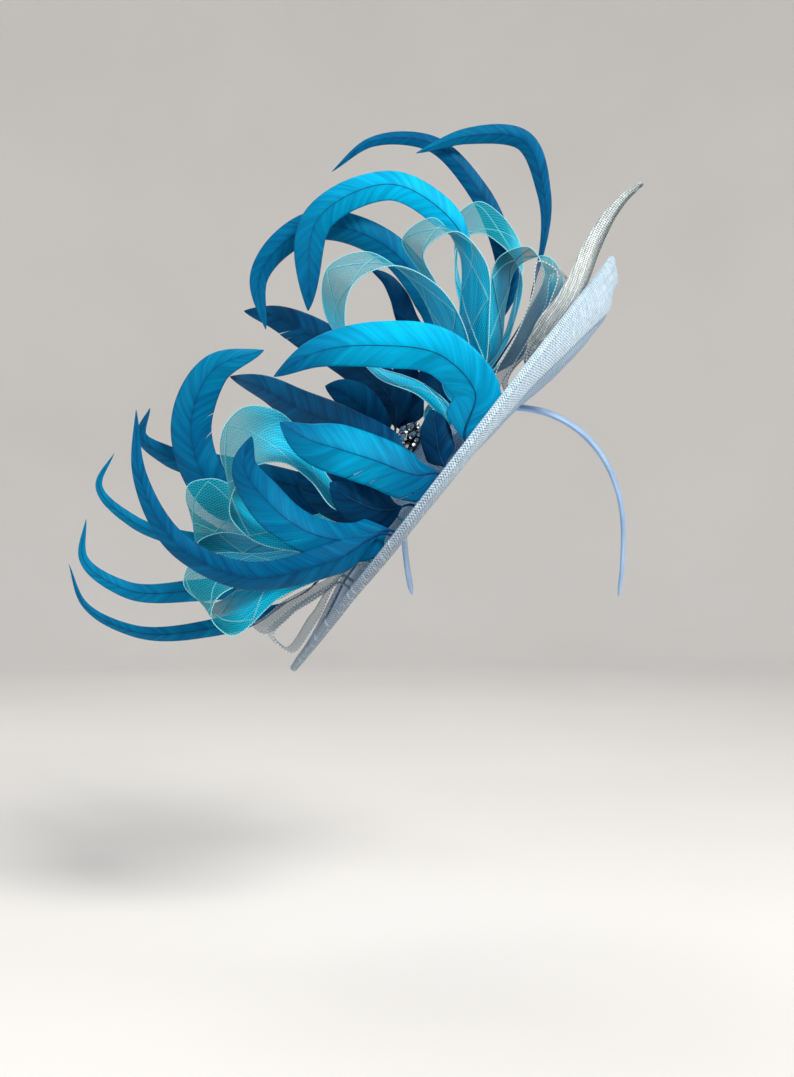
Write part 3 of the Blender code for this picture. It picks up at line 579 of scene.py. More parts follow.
def vane_material():
    """Dyed goose vane: fine barbs that sweep out from the quill, streaked from navy to turquoise; its tones
    also carry painted shade and painted light.
    """
    finish = Finish("feather_vane", Sheen_Weight=0.12, Sheen_Roughness=0.35, Specular_IOR_Level=0.22,
                    Sheen_Tint=(0.05, 0.6, 1.0, 1.0), Specular_Tint=(0.15, 0.7, 1.0, 1.0))
    places = finish.cloth_places()
    barbs = finish.cloth_noise(places, (1.5, 0.05), 3.0)
    clumps = finish.cloth_noise(places, (0.16, 0.03))
    fine = threads(places[0], BARB_SPACING)
    tone = shifted(finish.attribute("tone"), barbs, 0.34)
    tone = shifted(shifted(tone, clumps, 0.48), fine, 0.05, middle=0.6)
    finish.paint(tone, *VANE_TONE_COLOURS)
    finish.bump(barbs * 0.7 + fine * 0.3, strength=0.45, distance=0.0005)
    finish.feed("Roughness", clumps * 0.22 + VANE_ROUGHNESS)
    return finish.material


def quill_material():
    """Dark dyed quill."""
    finish = Finish("feather_quill", Roughness=0.6, Specular_IOR_Level=0.1)
    shade = finish.cloth_noise(finish.cloth_places(), (0.2, 0.4))
    finish.paint(shade, (0.3, (0.0, 0.03, 0.10)), (0.7, (0.0, 0.08, 0.20)))
    finish.bump(shade, strength=0.2, distance=0.0003)
    return finish.material


def satin_material():
    """Light blue satin stretched over a padded band."""
    finish = Finish("satin_band", Roughness=0.3, Sheen_Weight=0.5, Sheen_Roughness=0.25, Anisotropic=0.5,
                    Coat_Weight=0.15, Coat_Roughness=0.3)
    places = finish.cloth_places()
    weft = threads(slanted(places, WEFT_SLANT), WEFT_SPACING)
    folds = finish.cloth_noise(places, (0.05, 0.25))
    stops = ((0.3, (0.20, 0.33, 0.55)), (0.55, (0.30, 0.46, 0.70)), (0.8, (0.45, 0.60, 0.82)))
    finish.paint(weft * 0.2 + folds * 0.8, *stops)
    finish.bump(folds + weft * 0.12, strength=0.35, distance=0.0008)
    return finish.material


def metal_material():
    """Dark plated metal, worn paler on some faces."""
    finish = Finish("brooch_dark_metal", Metallic=1.0)
    wear = finish.object_noise(700.0, 3.0)
    stops = ((0.35, (0.02, 0.022, 0.03)), (0.62, (0.10, 0.11, 0.13)), (0.8, (0.45, 0.47, 0.5)))
    finish.paint(wear, *stops)
    finish.feed("Roughness", wear * 0.3 + METAL_ROUGHNESS)
    finish.bump(wear, strength=0.25, distance=0.0002)
    return finish.material


def stone_material():
    """Clear cut stone with a foiled back: bright faces and dark ones, painted into its colour as painted
    glints and painted reflection.
    """
    finish = Finish("brooch_clear_stone", Roughness=0.04, Metallic=0.75, Coat_Weight=1.0,
                    Coat_Roughness=0.02)
    stops = ((0.30, (0.22, 0.24, 0.26)), (0.40, (0.75, 0.78, 0.80)), (0.50, (0.99, 0.99, 1.0)))
    # Bright and dark patches of colour: painted glints and painted reflection.
    finish.paint(finish.object_noise(420.0, 1.0), *stops)
    return finish.material


def floor_material():
    """Plain pale floor with a faint mottle."""
    finish = Finish("pale_floor", Roughness=0.8)
    stops = ((0.3, (0.78, 0.765, 0.745)), (0.7, (0.81, 0.795, 0.775)))
    finish.paint(finish.object_noise(3.0), *stops)
    return finish.material


# Shapes shared by several pieces


def place(across, up, behind):
    """World point of a place in the front drawing."""
    spread = (EYE_DISTANCE + behind) / EYE_DISTANCE
    level = EYE_ACROSS + (across - EYE_ACROSS) * spread
    height = EYE_UP + (up - EYE_UP) * spread
    return RIGHT * level + FORWARD * behind + UP * height


def between(start, end, share):
    """Number at a share of the way from start to end."""
    return start + (end - start) * share


def smooth_step(value):
    """Ease from 0 to 1."""
    value = min(1.0, max(0.0, value))
    return value * value * (3.0 - 2.0 * value)


def eased(value, start, end):
    """Ease from 0 to 1 as a value goes from start to end."""
    return smooth_step((value - start) / (end - start))


def rounded(value, power):
    """A signed power, which squares or rounds a section."""
    return math.copysign(abs(value) ** power, value)


def turned_pair(heading, angle):
    """Axes across a heading and off it, turned about it from the upright drawing."""
    flat = heading.cross(FORWARD).normalized()
    rise = flat.cross(heading)
    side = flat * math.cos(angle) + rise * math.sin(angle)
    return side, rise * math.cos(angle) - flat * math.sin(angle)


def around(count, start=0.0):
    """Evenly spaced angles round a circle."""
    return [2.0 * math.pi * (k + start) / count for k in range(count)]


def smooth_curve(points):
    """Fine polyline of the smooth curve through points, each heading weighed by the spans beside it."""
    spans = [(b - a).length for a, b in zip(points, points[1:])]
    slopes = [(b - a).normalized() for a, b in zip(points, points[1:])]
    headings = [slopes[0]]
    for i in range(1, len(slopes)):
        weighed = slopes[i] * spans[i - 1] + slopes[i - 1] * spans[i]
        headings.append(weighed / (spans[i - 1] + spans[i]))
    headings.append(slopes[-1])
    fine = []
    for i, span in enumerate(spans):
        for k in range(CURVE_FINENESS):
            t = k / CURVE_FINENESS
            fine.append(
                points[i] * (1.0 - 3.0 * t * t + 2.0 * t ** 3)
                + headings[i] * span * (t - 2.0 * t * t + t ** 3)
                + points[i + 1] * (3.0 * t * t - 2.0 * t ** 3)
                + headings[i + 1] * span * (t ** 3 - t * t)
            )
    fine.append(points[-1])
    return fine


def runs_along(points):
    """Distance run at each point of a polyline."""
    return [0.0, *accumulate((b - a).length for a, b in zip(points, points[1:]))]


def headings_along(points):
    """Heading at each point of a polyline, from the points beside it."""
    ahead = [*points[1:], points[-1]]
    back = [points[0], *points[:-1]]
    return [(a - b).normalized() for a, b in zip(ahead, back)]


def even_indices(fine, steps):
    """Fractional indices into a fine polyline, at even arc lengths."""
    lengths = runs_along(fine)
    indices = []
    low = 0
    for k in range(steps + 1):
        wanted = lengths[-1] * k / steps
        while low < len(fine) - 2 and lengths[low + 1] < wanted:
            low += 1
        indices.append(low + min(1.0, (wanted - lengths[low]) / (lengths[low + 1] - lengths[low])))
    return indices


def along_curve(fine, index):
    """Place and heading of a polyline at a fractional index, the heading eased between its spans."""
    low = min(int(index), len(fine) - 2)
    share = index - low
    here = (fine[low + 1] - fine[low]).normalized()
    if share >= 0.5:
        beside = (fine[min(low + 2, len(fine) - 1)] - fine[min(low + 1, len(fine) - 2)]).normalized()
        heading = here.lerp(beside, share - 0.5)
    else:
        beside = (fine[low] - fine[low - 1]).normalized() if low else here
        heading = beside.lerp(here, share + 0.5)
    return fine[low].lerp(fine[low + 1], share), heading.normalized()


class Sketch:
    """Points, faces, cloth places and one soft value per point, gathered until they become an object."""

    def __init__(self):
        self.points = []
        self.places = []
        self.values = []
        self.faces = []
        self.slots = []

    def add_point(self, point, where, value=0.0):
        self.points.append(point * MM)
        self.places.append((where[0] * MM, where[1] * MM))
        self.values.append(value)
        return len(self.points) - 1

    def add_face(self, corners, slot=0):
        self.faces.append(tuple(corners))
        self.slots.append(slot)

    def add_grid(self, rows, slot=0, closed=False):
        """Faces between rows of point numbers; a closed grid joins each row's end to its start."""
        for low, high in zip(rows, rows[1:]):
            for j in range(len(low) if closed else len(low) - 1):
                k = (j + 1) % len(low)
                self.add_face((low[j], low[k], high[k], high[j]), slot)

    def add_tube(self, path, radii, sides, slot=0):
        """Tube along points, with a radius at each; its cloth place runs along it."""
        rows = []
        for point, run, heading, radius in zip(path, runs_along(path), headings_along(path), radii):
            one = heading.cross(FORWARD if abs(heading.dot(FORWARD)) < 0.9 else UP).normalized()
            other = heading.cross(one)
            row = []
            for k, angle in enumerate(around(sides)):
                spot = point + (one * math.cos(angle) + other * math.sin(angle)) * radius
                row.append(self.add_point(spot, (run, k * radius)))
            rows.append(row)
        self.add_hull(rows, slot)

    def add_hull(self, rings, slot=0):
        """Closed grid with a flat face at either end."""
        self.add_grid(rings, slot, closed=True)
        self.add_face(reversed(rings[0]), slot)
        self.add_face(rings[-1], slot)

    def build(self, name, materials, value_name=None, weld=False, thicken=0.0, sharp=60.0):
        """The finished object, smooth-shaded."""
        mesh = bpy.data.meshes.new(name)
        mesh.from_pydata([tuple(point) for point in self.points], [], self.faces)
        mesh.polygons.foreach_set("material_index", self.slots)
        layout = mesh.uv_layers.new(name="cloth")
        for loop in mesh.loops:
            layout.data[loop.index].uv = self.places[loop.vertex_index]
        if value_name:
            soft = mesh.attributes.new(value_name, "FLOAT", "POINT")
            soft.data.foreach_set("value", self.values)
        for material in materials:
            mesh.materials.append(material)
        if weld:
            shape = bmesh.new()
            shape.from_mesh(mesh)
            bmesh.ops.remove_doubles(shape, verts=shape.verts, dist=WELD_DISTANCE * MM)
            shape.to_mesh(mesh)
            shape.free()
        mesh.shade_smooth()
        mesh.set_sharp_from_angle(angle=math.radians(sharp))
        item = bpy.data.objects.new(name, mesh)
        bpy.context.scene.collection.objects.link(item)
        if thicken:
            wall = item.modifiers.new("wall", "SOLIDIFY")
            wall.thickness = thicken * MM
            wall.offset = 0.0
        return item


def dress(item, node):
    """Ride on the one body and, where a CAD node is named, stand for it by hiding it."""
    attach(item, "root")
    if node:
        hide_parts(node)


# Headband


def band_centre(angle):
    """Middle of the headband's wall; the angle is 90 degrees at the top and negative on a leg."""
    reach = abs(math.cos(angle))
    rise = math.sin(angle)
    if rise >= 0.0:
        reach = reach ** (2.0 / BAND_SQUARENESS)
        rise = rise ** (2.0 / BAND_SQUARENESS) * BAND_RISE
    else:
        rise = rise * BAND_LEG_CURL
    out = math.copysign(reach, math.cos(angle)) * (BAND_HALF_WIDTH - BAND_THICK_END / 2.0)
    height = rise - BAND_WIDEST_DROP + (BAND_THICK_TOP / 2.0 + BAND_WIDEST_DROP - BAND_RISE)
    return Vector((out, -height * math.tan(BAND_LEAN), height))


def make_headband(material):
    """Padded satin band with a soft rounded section and tucked ends."""
    leg_angle = math.asin(BAND_LEG_END / BAND_LEG_CURL)
    sweep = math.pi + 2.0 * leg_angle
    last = BAND_STATIONS - 1
    middle = [band_centre(-leg_angle + sweep * i / last) for i in range(BAND_STATIONS)]
    breadth_axis = Vector((0.0, math.cos(BAND_LEAN), math.sin(BAND_LEAN)))
    sketch = Sketch()
    rows = []
    for i, (centre, run, heading) in enumerate(zip(middle, runs_along(middle), headings_along(middle))):
        outward = breadth_axis.cross(heading)
        topness = math.sin(math.pi * i / last)
        ending = math.sqrt(min(1.0, (min(i, last - i) + BAND_TUCK_START) / BAND_TUCK_STATIONS))
        pucker = sum((depth * math.sin(i * rate) for depth, rate in BAND_PUCKERS), 1.0)
        half_breadth = between(BAND_BREADTH_END, BAND_BREADTH_TOP, topness) / 2.0 * ending
        half_thick = between(BAND_THICK_END, BAND_THICK_TOP, topness) / 2.0 * pucker * ending
        row = []
        for k, angle in enumerate(around(BAND_SIDES)):
            wide = rounded(math.cos(angle), BAND_ROUND_WIDE)
            thick = max(rounded(math.sin(angle), BAND_ROUND_THICK), BAND_FLAT_INSIDE)
            point = centre + breadth_axis * wide * half_breadth + outward * thick * half_thick
            row.append(sketch.add_point(point, (run, k * BAND_CLOTH_STEP)))
        rows.append(row)
    sketch.add_hull(rows)
    item = sketch.build("headband_satin", [material])
    dress(item, "headband")


# Saucer base


LENGTHWISE = RIGHT * math.cos(BASE_TILT) + UP * math.sin(BASE_TILT)
BASE_NORMAL = UP * math.cos(BASE_TILT) - RIGHT * math.sin(BASE_TILT)
BASE_ORIGIN = RIGHT * BASE_CENTRE[0] + UP * BASE_CENTRE[1]


def half_width(along):
    """Half of the base's breadth at a distance along it."""
    share = min(1.0, abs(along) / (BASE_LENGTH / 2.0))
    return BASE_WIDTH / 2.0 * (1.0 - share * share) ** BASE_POINTEDNESS


def trough_depth(along):
    """How far the base dips below its rim line, eased between the table's rows."""
    for (start, low), (end, high) in zip(TROUGHS, TROUGHS[1:]):
        if along <= end:
            return between(low, high, eased(along, start, end))
    return 0.0


def base_height(along, cross):
    """Height of the saucer's middle surface over its rim plane."""
    edge = min(1.0, abs(cross) / max(half_width(along), 0.5))
    inside = 1.0 - edge ** TROUGH_TURN
    spread = ((along - DOME_AT) / DOME_LONG) ** 2 + (cross / DOME_CROSS) ** 2
    dome = DOME_RISE * math.exp(-spread / 2.0)
    far_side = smooth_step(0.5 + cross / BASE_WIDTH)
    lift = FAR_LIFT * far_side * math.exp(-((along - FAR_LIFT_AT) / FAR_LIFT_SPREAD) ** 2)
    return (dome - trough_depth(along)) * inside + lift


def base_point(along, cross):
    """World point on the saucer's middle surface."""
    height = base_height(along, cross)
    return BASE_ORIGIN + LENGTHWISE * along + FORWARD * cross + BASE_NORMAL * height


def base_surface(along, cross, off):
    """World point at a distance off the middle surface, along its own normal."""
    step = 0.5
    run = base_point(along + step, cross) - base_point(along - step, cross)
    over = base_point(along, cross + step) - base_point(along, cross - step)
    normal = run.cross(over).normalized()
    if normal.dot(BASE_NORMAL) < 0.0:
        normal = -normal
    return base_point(along, cross) + normal * off


def rim_stations():
    """Plan places (along, cross) round the rim, closer together at the two points."""
    half_length = BASE_LENGTH / 2.0 * RIM_BLUNTNESS
    places = []
    for angle in around(BASE_AROUND, 0.5):
        along = half_length * rounded(math.cos(angle), RIM_CROWDING)
        cross = math.copysign(half_width(along), math.sin(angle))
        places.append((along, cross))
    return places


def saucer_ring(scale, off):
    """A ring of the saucer: the rim's plan, scaled, at a distance off the middle surface."""
    return [base_surface(along * scale, cross * scale, off) for along, cross in rim_stations()]


def make_base(material):
    """Blocked sinamay saucer with an upper and a lower face."""
    half = BASE_WALL / 2.0
    sketch = Sketch()
    plan = rim_stations()
    scales = (1.0, *BASE_RINGS)
    courses = [(scale, half) for scale in reversed(scales)] + [(scale, -half) for scale in scales]
    rows = []
    for scale, off in courses:
        ring = saucer_ring(scale, off)
        rows.append([
            sketch.add_point(point, (along * scale, cross * scale))
            for point, (along, cross) in zip(ring, plan)
        ])
    sketch.add_grid(rows, closed=True)
    for off, row, turned in ((half, rows[0], True), (-half, rows[-1], False)):
        centre = sketch.add_point(base_surface(0.0, 0.0, off), (0.0, 0.0))
        for j in range(BASE_AROUND):
            k = (j + 1) % BASE_AROUND
            sketch.add_face((centre, row[k], row[j]) if turned else (centre, row[j], row[k]))
    item = sketch.build("base_sinamay", [material])
    dress(item, "sinamay_base")


def leg_ring(share, off, face):
    """Ring of the binding's leg at a share of its reach, puffed out over (1) or under (-1) the base."""
    puff = off + BINDING_PUFF * math.sin(math.pi * between(BINDING_PUFF_START, 1.0, share)) - BINDING_TUCK
    return saucer_ring(BINDING_EDGE + (1.0 - BINDING_EDGE) * share * BINDING_LEG_REACH, face * puff)


def binding_courses(rim):
    """Rings of the binding's skin, each with its share of the way across the strip."""
    outward = [(a - b).normalized() for a, b in zip(rim, saucer_ring(BASE_RINGS[0], 0.0))]
    normals = [(a - b).normalized() for a, b in zip(saucer_ring(1.0, 1.0), rim)]
    inner_off = BASE_WALL / 2.0 + BINDING_GAP
    roll_radius = inner_off + BINDING_CLOTH
    leg_shares = [i / BINDING_LEG_STEPS for i in range(BINDING_LEG_STEPS + 1)]
    full_way = 2.0 + BINDING_ROLL_SHARE
    courses = [(leg_ring(share, roll_radius, 1.0), share) for share in leg_shares]
    for i in range(BINDING_ROLL_STEPS + 1):
        angle = math.pi * (0.5 - i / BINDING_ROLL_STEPS)
        reach = BINDING_GAP + roll_radius * BINDING_ROLL_DEPTH * math.cos(angle)
        rise = roll_radius * math.sin(angle)
        ring = [p + o * reach + n * rise for p, o, n in zip(rim, outward, normals)]
        courses.append((ring, 1.0 + i / BINDING_ROLL_STEPS * BINDING_ROLL_SHARE))
    courses += [(leg_ring(share, roll_radius, -1.0), full_way - share) for share in reversed(leg_shares)]
    courses.append((saucer_ring(BINDING_EDGE, -inner_off), full_way + BINDING_FOLD_SHARE))
    courses.append((saucer_ring(1.0, -inner_off), full_way - 1.0))
    courses.append(([p + o * BINDING_GAP for p, o in zip(rim, outward)], full_way / 2.0))
    courses.append((saucer_ring(1.0, inner_off), 1.0))
    courses.append((saucer_ring(BINDING_EDGE, inner_off), -BINDING_FOLD_SHARE))
    return courses


def make_binding(material):
    """Bias strip rolled over the rim, softly padded by its folded edges."""
    rim = saucer_ring(1.0, 0.0)
    plan = rim_stations()
    courses = binding_courses(rim)
    sketch = Sketch()
    rows = []
    for step, run in enumerate(runs_along([*rim, rim[0]])):
        i = step % BASE_AROUND
        # The binding is painted darker towards its lower end: a painted shade.
        dulled = smooth_step((SHADE_FROM - plan[i][0]) / SHADE_OVER)
        row = []
        for ring, share in courses:
            row.append(sketch.add_point(ring[i], (run, share * BINDING_STRIP_WIDTH), dulled))
        rows.append(row)
    sketch.add_grid(rows, closed=True)
    item = sketch.build("rim_binding_sinamay", [material], value_name="dulled", weld=True)
    dress(item, "rim_binding")


def base_skin():
    """The CAD base's own facets, to stand other pieces on."""
    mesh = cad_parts["sinamay_base"].data
    return BVHTree.FromPolygons([v.co for v in mesh.vertices], [p.vertices for p in mesh.polygons])


def seat_on_base(skin, along, cross, stem):
    """World place where a piece stands on the saucer, and the place a stem's length above it."""
    start = base_point(along, cross) + BASE_NORMAL * SEAT_SEARCH_HEIGHT
    hit, facing, _, _ = skin.ray_cast(start * MM, -BASE_NORMAL)
    foot = hit / MM + facing * SEAM_GAP
    return foot, foot + facing * stem


# Leaf


def leaf_row(index):
    """Half width and turn of the leaf at a fractional index of its curve."""
    first = min(int(index / CURVE_FINENESS), len(LEAF_ROWS) - 2)
    low = LEAF_ROWS[first]
    high = LEAF_ROWS[first + 1]
    share = index / CURVE_FINENESS - first
    turn = math.radians(between(low.turn, high.turn, share))
    return between(low.half_width, high.half_width, share), turn


def make_leaf(skin, material):
    """Pointed, twisted leaf with a fold along its middle and fine ribs."""
    middle = [place(row.across, row.up, row.behind) for row in LEAF_ROWS]
    middle[0] = seat_on_base(skin, *LEAF_SEAT, LEAF_STEM)[1]
    fine = smooth_curve(middle)
    total = runs_along(fine)[-1]
    sketch = Sketch()
    rows = []
    for i, index in enumerate(even_indices(fine, LEAF_ROWS_FINE)):
        half, turn = leaf_row(index)
        centre, run = along_curve(fine, index)
        side, face = turned_pair(run, turn)
        row = []
        for j in range(LEAF_COLUMNS + 1):
            share = 2.0 * j / LEAF_COLUMNS - 1.0
            sag = half * LEAF_FOLD * abs(share) ** LEAF_FOLD_POWER
            rib = LEAF_RIB * (-1.0 if j % 2 else 1.0)
            point = centre + side * half * share + face * (sag + rib)
            # One half of the leaf and its foot are painted darker: a painted shade.
            foot_shade = LEAF_FOOT_SHADE * smooth_step(1.0 - i / LEAF_FOOT_ROWS)
            dulled = max(smooth_step(LEAF_SHADE_SIDE - share), foot_shade)
            row.append(sketch.add_point(point, (total * i / LEAF_ROWS_FINE, share * half), dulled))
        rows.append(row)
    sketch.add_grid(rows)
    item = sketch.build("leaf_sinamay", [material], value_name="dulled", thicken=LEAF_WALL)
    dress(item, "sinamay_leaf")


# Crin loops


def lean_at(loop, share):
    """How far (across, up) the far edge leans at a share of the loop's way."""
    leans = (loop.out_lean, loop.crown_lean, loop.in_lean)
    limb = 0 if share < 0.5 else 1
    part = smooth_step(share * 2.0 - limb)
    return [between(start, end, part) for start, end in zip(leans[limb], leans[limb + 1])]


def loop_edges(skin, loop):
    """Curves of the near and far edges of a loop's strip."""
    near = list(seat_on_base(skin, *loop.out_seat, STEM))
    far = list(seat_on_base(skin, loop.out_seat[0], loop.out_seat[1] + CRIN_FOOT_WIDTH, STEM))
    for i, (across, up) in enumerate(loop.path):
        share = (i + 1) / (len(loop.path) + 1)
        depth = between(loop.out_depth, loop.in_depth, smooth_step(share))
        opened = smooth_step(CRIN_OPENING_RATE * min(share, 1.0 - share))
        gather = between(CRIN_GATHERED, 1.0, opened)
        near.append(place(across, up, depth))
        lean = lean_at(loop, share)
        far.append(place(across + lean[0] * gather, up + lean[1] * gather, depth + loop.reach * gather))
    near += reversed(seat_on_base(skin, *loop.in_seat, STEM))
    far += reversed(seat_on_base(skin, loop.in_seat[0], loop.in_seat[1] + CRIN_FOOT_WIDTH, STEM))
    return smooth_curve(near), smooth_curve(far)


def loop_stations(skin, loop):
    """Near edge, far edge and facing of a loop's strip, at even steps along it."""
    near_curve, far_curve = loop_edges(skin, loop)
    stations = []
    for index in even_indices(near_curve, LOOP_ROWS):
        near, near_run = along_curve(near_curve, index)
        far, far_run = along_curve(far_curve, index)
        stations.append((near, far, (near_run + far_run).cross(far - near).normalized()))
    return stations


def strip_point(stations, along, share):
    """Point of a strip at a fractional station and a share of its width, with its facing."""
    low = min(int(along), len(stations) - 2)
    near, far, facing = [a.lerp(b, along - low) for a, b in zip(stations[low], stations[low + 1])]
    facing.normalize()
    return near.lerp(far, share) + facing * CRIN_BOW * math.sin(math.pi * share), facing


def zigzag(value):
    """Triangle wave between 0 and 1 with a period of 1."""
    value %= 1.0
    return 2.0 * value if value < 0.5 else 2.0 - 2.0 * value


def make_strip(loop, net, stations, total, widths, cloth):
    """The loop's sheer strip, closing up towards its gathered feet."""
    full = max(widths)
    sketch = Sketch()
    rows = []
    for i, width in enumerate(widths):
        from_crown = abs(i / LOOP_ROWS - 0.5)
        limb = eased(from_crown, CRIN_CROWN_SHARE, CRIN_CLOSED_SHARE)
        closeness = min(net.most_closed, full / width * (1.0 + limb * net.limb_closed))
        row = []
        for j in range(LOOP_COLUMNS + 1):
            share = j / LOOP_COLUMNS
            point = strip_point(stations, i, share)[0]
            row.append(sketch.add_point(point, (total * i / LOOP_ROWS, share * full), closeness))
        rows.append(row)
    sketch.add_grid(rows)
    return sketch.build(f"{loop.name}_strip", [cloth], value_name="closeness", sharp=180.0)


def make_threads(loop, net, stations, total, cord, lattice):
    """Corded edges of a strip, and on the turquoise ones two thicker threads that cross over it."""
    sketch = Sketch()
    places = [i / CORD_FINENESS for i in range(LOOP_ROWS * CORD_FINENESS + 1)]
    for share in (0.0, 1.0):
        path = [strip_point(stations, along, share)[0] for along in places]
        sketch.add_tube(path, [net.cord_radius] * len(path), sides=CORD_SIDES)
    for begin in () if loop.grey else LATTICE_STARTS:
        path = []
        for along in places:
            swing = zigzag(begin + total * along / LOOP_ROWS / LATTICE_PERIOD)
            share = between(LATTICE_INSET, 1.0 - LATTICE_INSET, swing)
            point, facing = strip_point(stations, along, share)
            path.append(point + facing * LATTICE_LIFT)
        sketch.add_tube(path, [LATTICE_RADIUS] * len(path), sides=LATTICE_SIDES, slot=1)
    return sketch.build(f"{loop.name}_threads", [cord, lattice])


def make_loop(skin, loop, cloth, cord, lattice):
    """Sheer strip of crin with corded edges."""
    net = GREY_NET if loop.grey else TURQUOISE_NET
    stations = loop_stations(skin, loop)
    total = runs_along([near for near, _, _ in stations])[-1]
    widths = [(far - near).length for near, far, _ in stations]
    strip = make_strip(loop, net, stations, total, widths, cloth)
    trimming = make_threads(loop, net, stations, total, cord, lattice)
    dress(strip, loop.name)
    dress(trimming, None)
    area = 0.0
    for (near, far, _), (next_near, next_far, _) in zip(stations, stations[1:]):
        area += ((near - next_near).length + (far - next_far).length) / 2.0 * (near - far).length


# Feathers


def feather_half_width(feather, share):
    """Half of the vane's width at a share of the feather's length."""
    opened = smooth_step((share - feather.bare) / feather.opens)
    closing = max(0.0, (share - feather.closes) / (1.0 - feather.closes))
    tip = max(0.0, 1.0 - closing ** VANE_TIP_ROUNDNESS) ** VANE_TIP_POINT
    return feather.width / 2.0 * opened * tip


def feather_curve(skin, feather):
    """Curve of the feather's rachis, from its seat to its tip."""
    points = list(seat_on_base(skin, *feather.seat, FEATHER_STEM))
    drawn = (feather.rise, feather.bend, feather.crest, feather.turn, feather.tip)
    for i, (across, up) in enumerate(drawn):
        points.append(place(across, up, between(feather.depth, feather.tip_depth, i / (len(drawn) - 1))))
    return smooth_curve(points)


def feather_tone(feather, share):
    """Tone at a share of the feather's length: its dye, with painted shade and painted light along it."""
    root, middle, tip = feather.tones
    if share < TONE_MIDDLE:
        return between(root, middle, smooth_step(share / TONE_MIDDLE))
    return between(middle, tip, eased(share, TONE_MIDDLE, 1.0))


def split_clumps(chance, torn_share):
    """Clumps of barbs along a vane: (first row, last row, how far the clump draws together)."""
    clumps = []
    start = 0
    while start < VANE_ROWS:
        end = min(VANE_ROWS, start + chance.randint(*CLUMP_ROWS))
        torn = chance.random() < torn_share
        clumps.append((start, end, chance.uniform(*CLUMP_DRAW) if torn else 0.0))
        start = end
    return clumps


class Plume:
    """One feather's curve and the places on its curled vanes."""

    def __init__(self, skin, feather, sway):
        curve = feather_curve(skin, feather)
        self.feather = feather
        self.sway = sway
        self.total = runs_along(curve)[-1]
        self.stations = [along_curve(curve, index) for index in even_indices(curve, FEATHER_STATIONS)]

    def spot(self, share, out=0.0, lift=0.0):
        """Point at a share of the length, out towards the edge (-1 or 1) and lifted off the vane."""
        at = min(1.0, max(0.0, share)) * FEATHER_STATIONS
        low = min(int(at), FEATHER_STATIONS - 1)
        centre, run = [a.lerp(b, at - low) for a, b in zip(self.stations[low], self.stations[low + 1])]
        roll = math.radians(self.feather.roll + VANE_SWAY * math.sin(VANE_SWAY_RATE * share + self.sway))
        side, face = turned_pair(run, roll)
        half = feather_half_width(self.feather, share)
        fall = self.feather.bow * half * abs(out) ** VANE_BOW_POWER
        return centre + side * half * out + face * (fall + lift)


def add_clump(sketch, plume, side, phase, clump, chance):
    """Faces of one clump of barbs, on the vane at one side (-1 or 1) of the quill."""
    feather = plume.feather
    first, last, draw = clump
    ragged = chance.uniform(*CLUMP_RAGGED)
    lift = chance.uniform(*CLUMP_LIFT) if draw else 0.0
    free_from = chance.uniform(*CLUMP_FREE_FROM)
    centre_row = (first + last) / 2.0
    sweep = BARB_SWEEP * feather.width / 2.0 / plume.total
    grid = []
    for i in range(first, last + 1):
        line = []
        for j in range(VANE_COLUMNS + 1):
            out = j / VANE_COLUMNS
            freed = eased(out, free_from, 1.0) * draw
            base = between(feather.bare, 1.0, between(i, centre_row, freed) / VANE_ROWS)
            share = base + min(sweep, (1.0 - base) * BARB_SWEEP_AT_TIP) * out
            half = feather_half_width(feather, share)
            ripple = VANE_RIPPLE * half * out * math.sin(share * plume.total * VANE_RIPPLE_RATE + phase)
            reach = out * (1.0 + ragged * out if draw else 1.0)
            point = plume.spot(share, side * reach, ripple + lift * freed)
            # Each point's tone holds the dye and the painted light and shade along the feather, and is
            # painted darker next to the quill as a painted shadow.
            shade = feather_tone(feather, share) - QUILL_SHADOW * (1.0 - out) ** QUILL_SHADOW_POWER
            line.append(sketch.add_point(point, (base * plume.total, side * out * half), shade))
        grid.append(line if side > 0.0 else line[::-1])
    sketch.add_grid(grid)


def make_feather(skin, feather, vane, quill):
    """Curled goose feather: two vanes of barbs with a few splits, on a tapered quill."""
    chance = random.Random(feather.name)
    plume = Plume(skin, feather, chance.uniform(*ANY_PHASE))
    sketch = Sketch()
    for side in (-1.0, 1.0):
        phase = chance.uniform(*ANY_PHASE)
        for clump in split_clumps(chance, TORN_SHARE if feather.width >= TORN_WIDTH else 0.0):
            add_clump(sketch, plume, side, phase, clump, chance)
    path = []
    radii = []
    for i in range(QUILL_STEPS + 1):
        share = QUILL_END * i / QUILL_STEPS
        path.append(plume.spot(share))
        bare_part = 1.0 - smooth_step((share - feather.bare / 2.0) / QUILL_THINS_OVER)
        radii.append(QUILL_FINE * (1.0 - QUILL_TAPER * share) + (QUILL_ROOT - QUILL_FINE) * bare_part)
    sketch.add_tube(path, radii, sides=QUILL_SIDES, slot=1)
    item = sketch.build(f"{feather.name}_vane", [vane, quill], value_name="tone", weld=True,
                        thicken=VANE_CLOTH, sharp=50.0)
    dress(item, feather.name)


# Brooch


def brooch_frame(skin):
    """Matrix from the brooch's own millimetres, +Z off the base, to the world."""
    foot, above = seat_on_base(skin, *BROOCH_SEAT, STEM)
    axis = (above - foot).normalized()
    across = (LENGTHWISE - axis * LENGTHWISE.dot(axis)).normalized()
    turn = Matrix((across, axis.cross(across), axis)).transposed().to_4x4()
    return Matrix.Translation(foot) @ turn


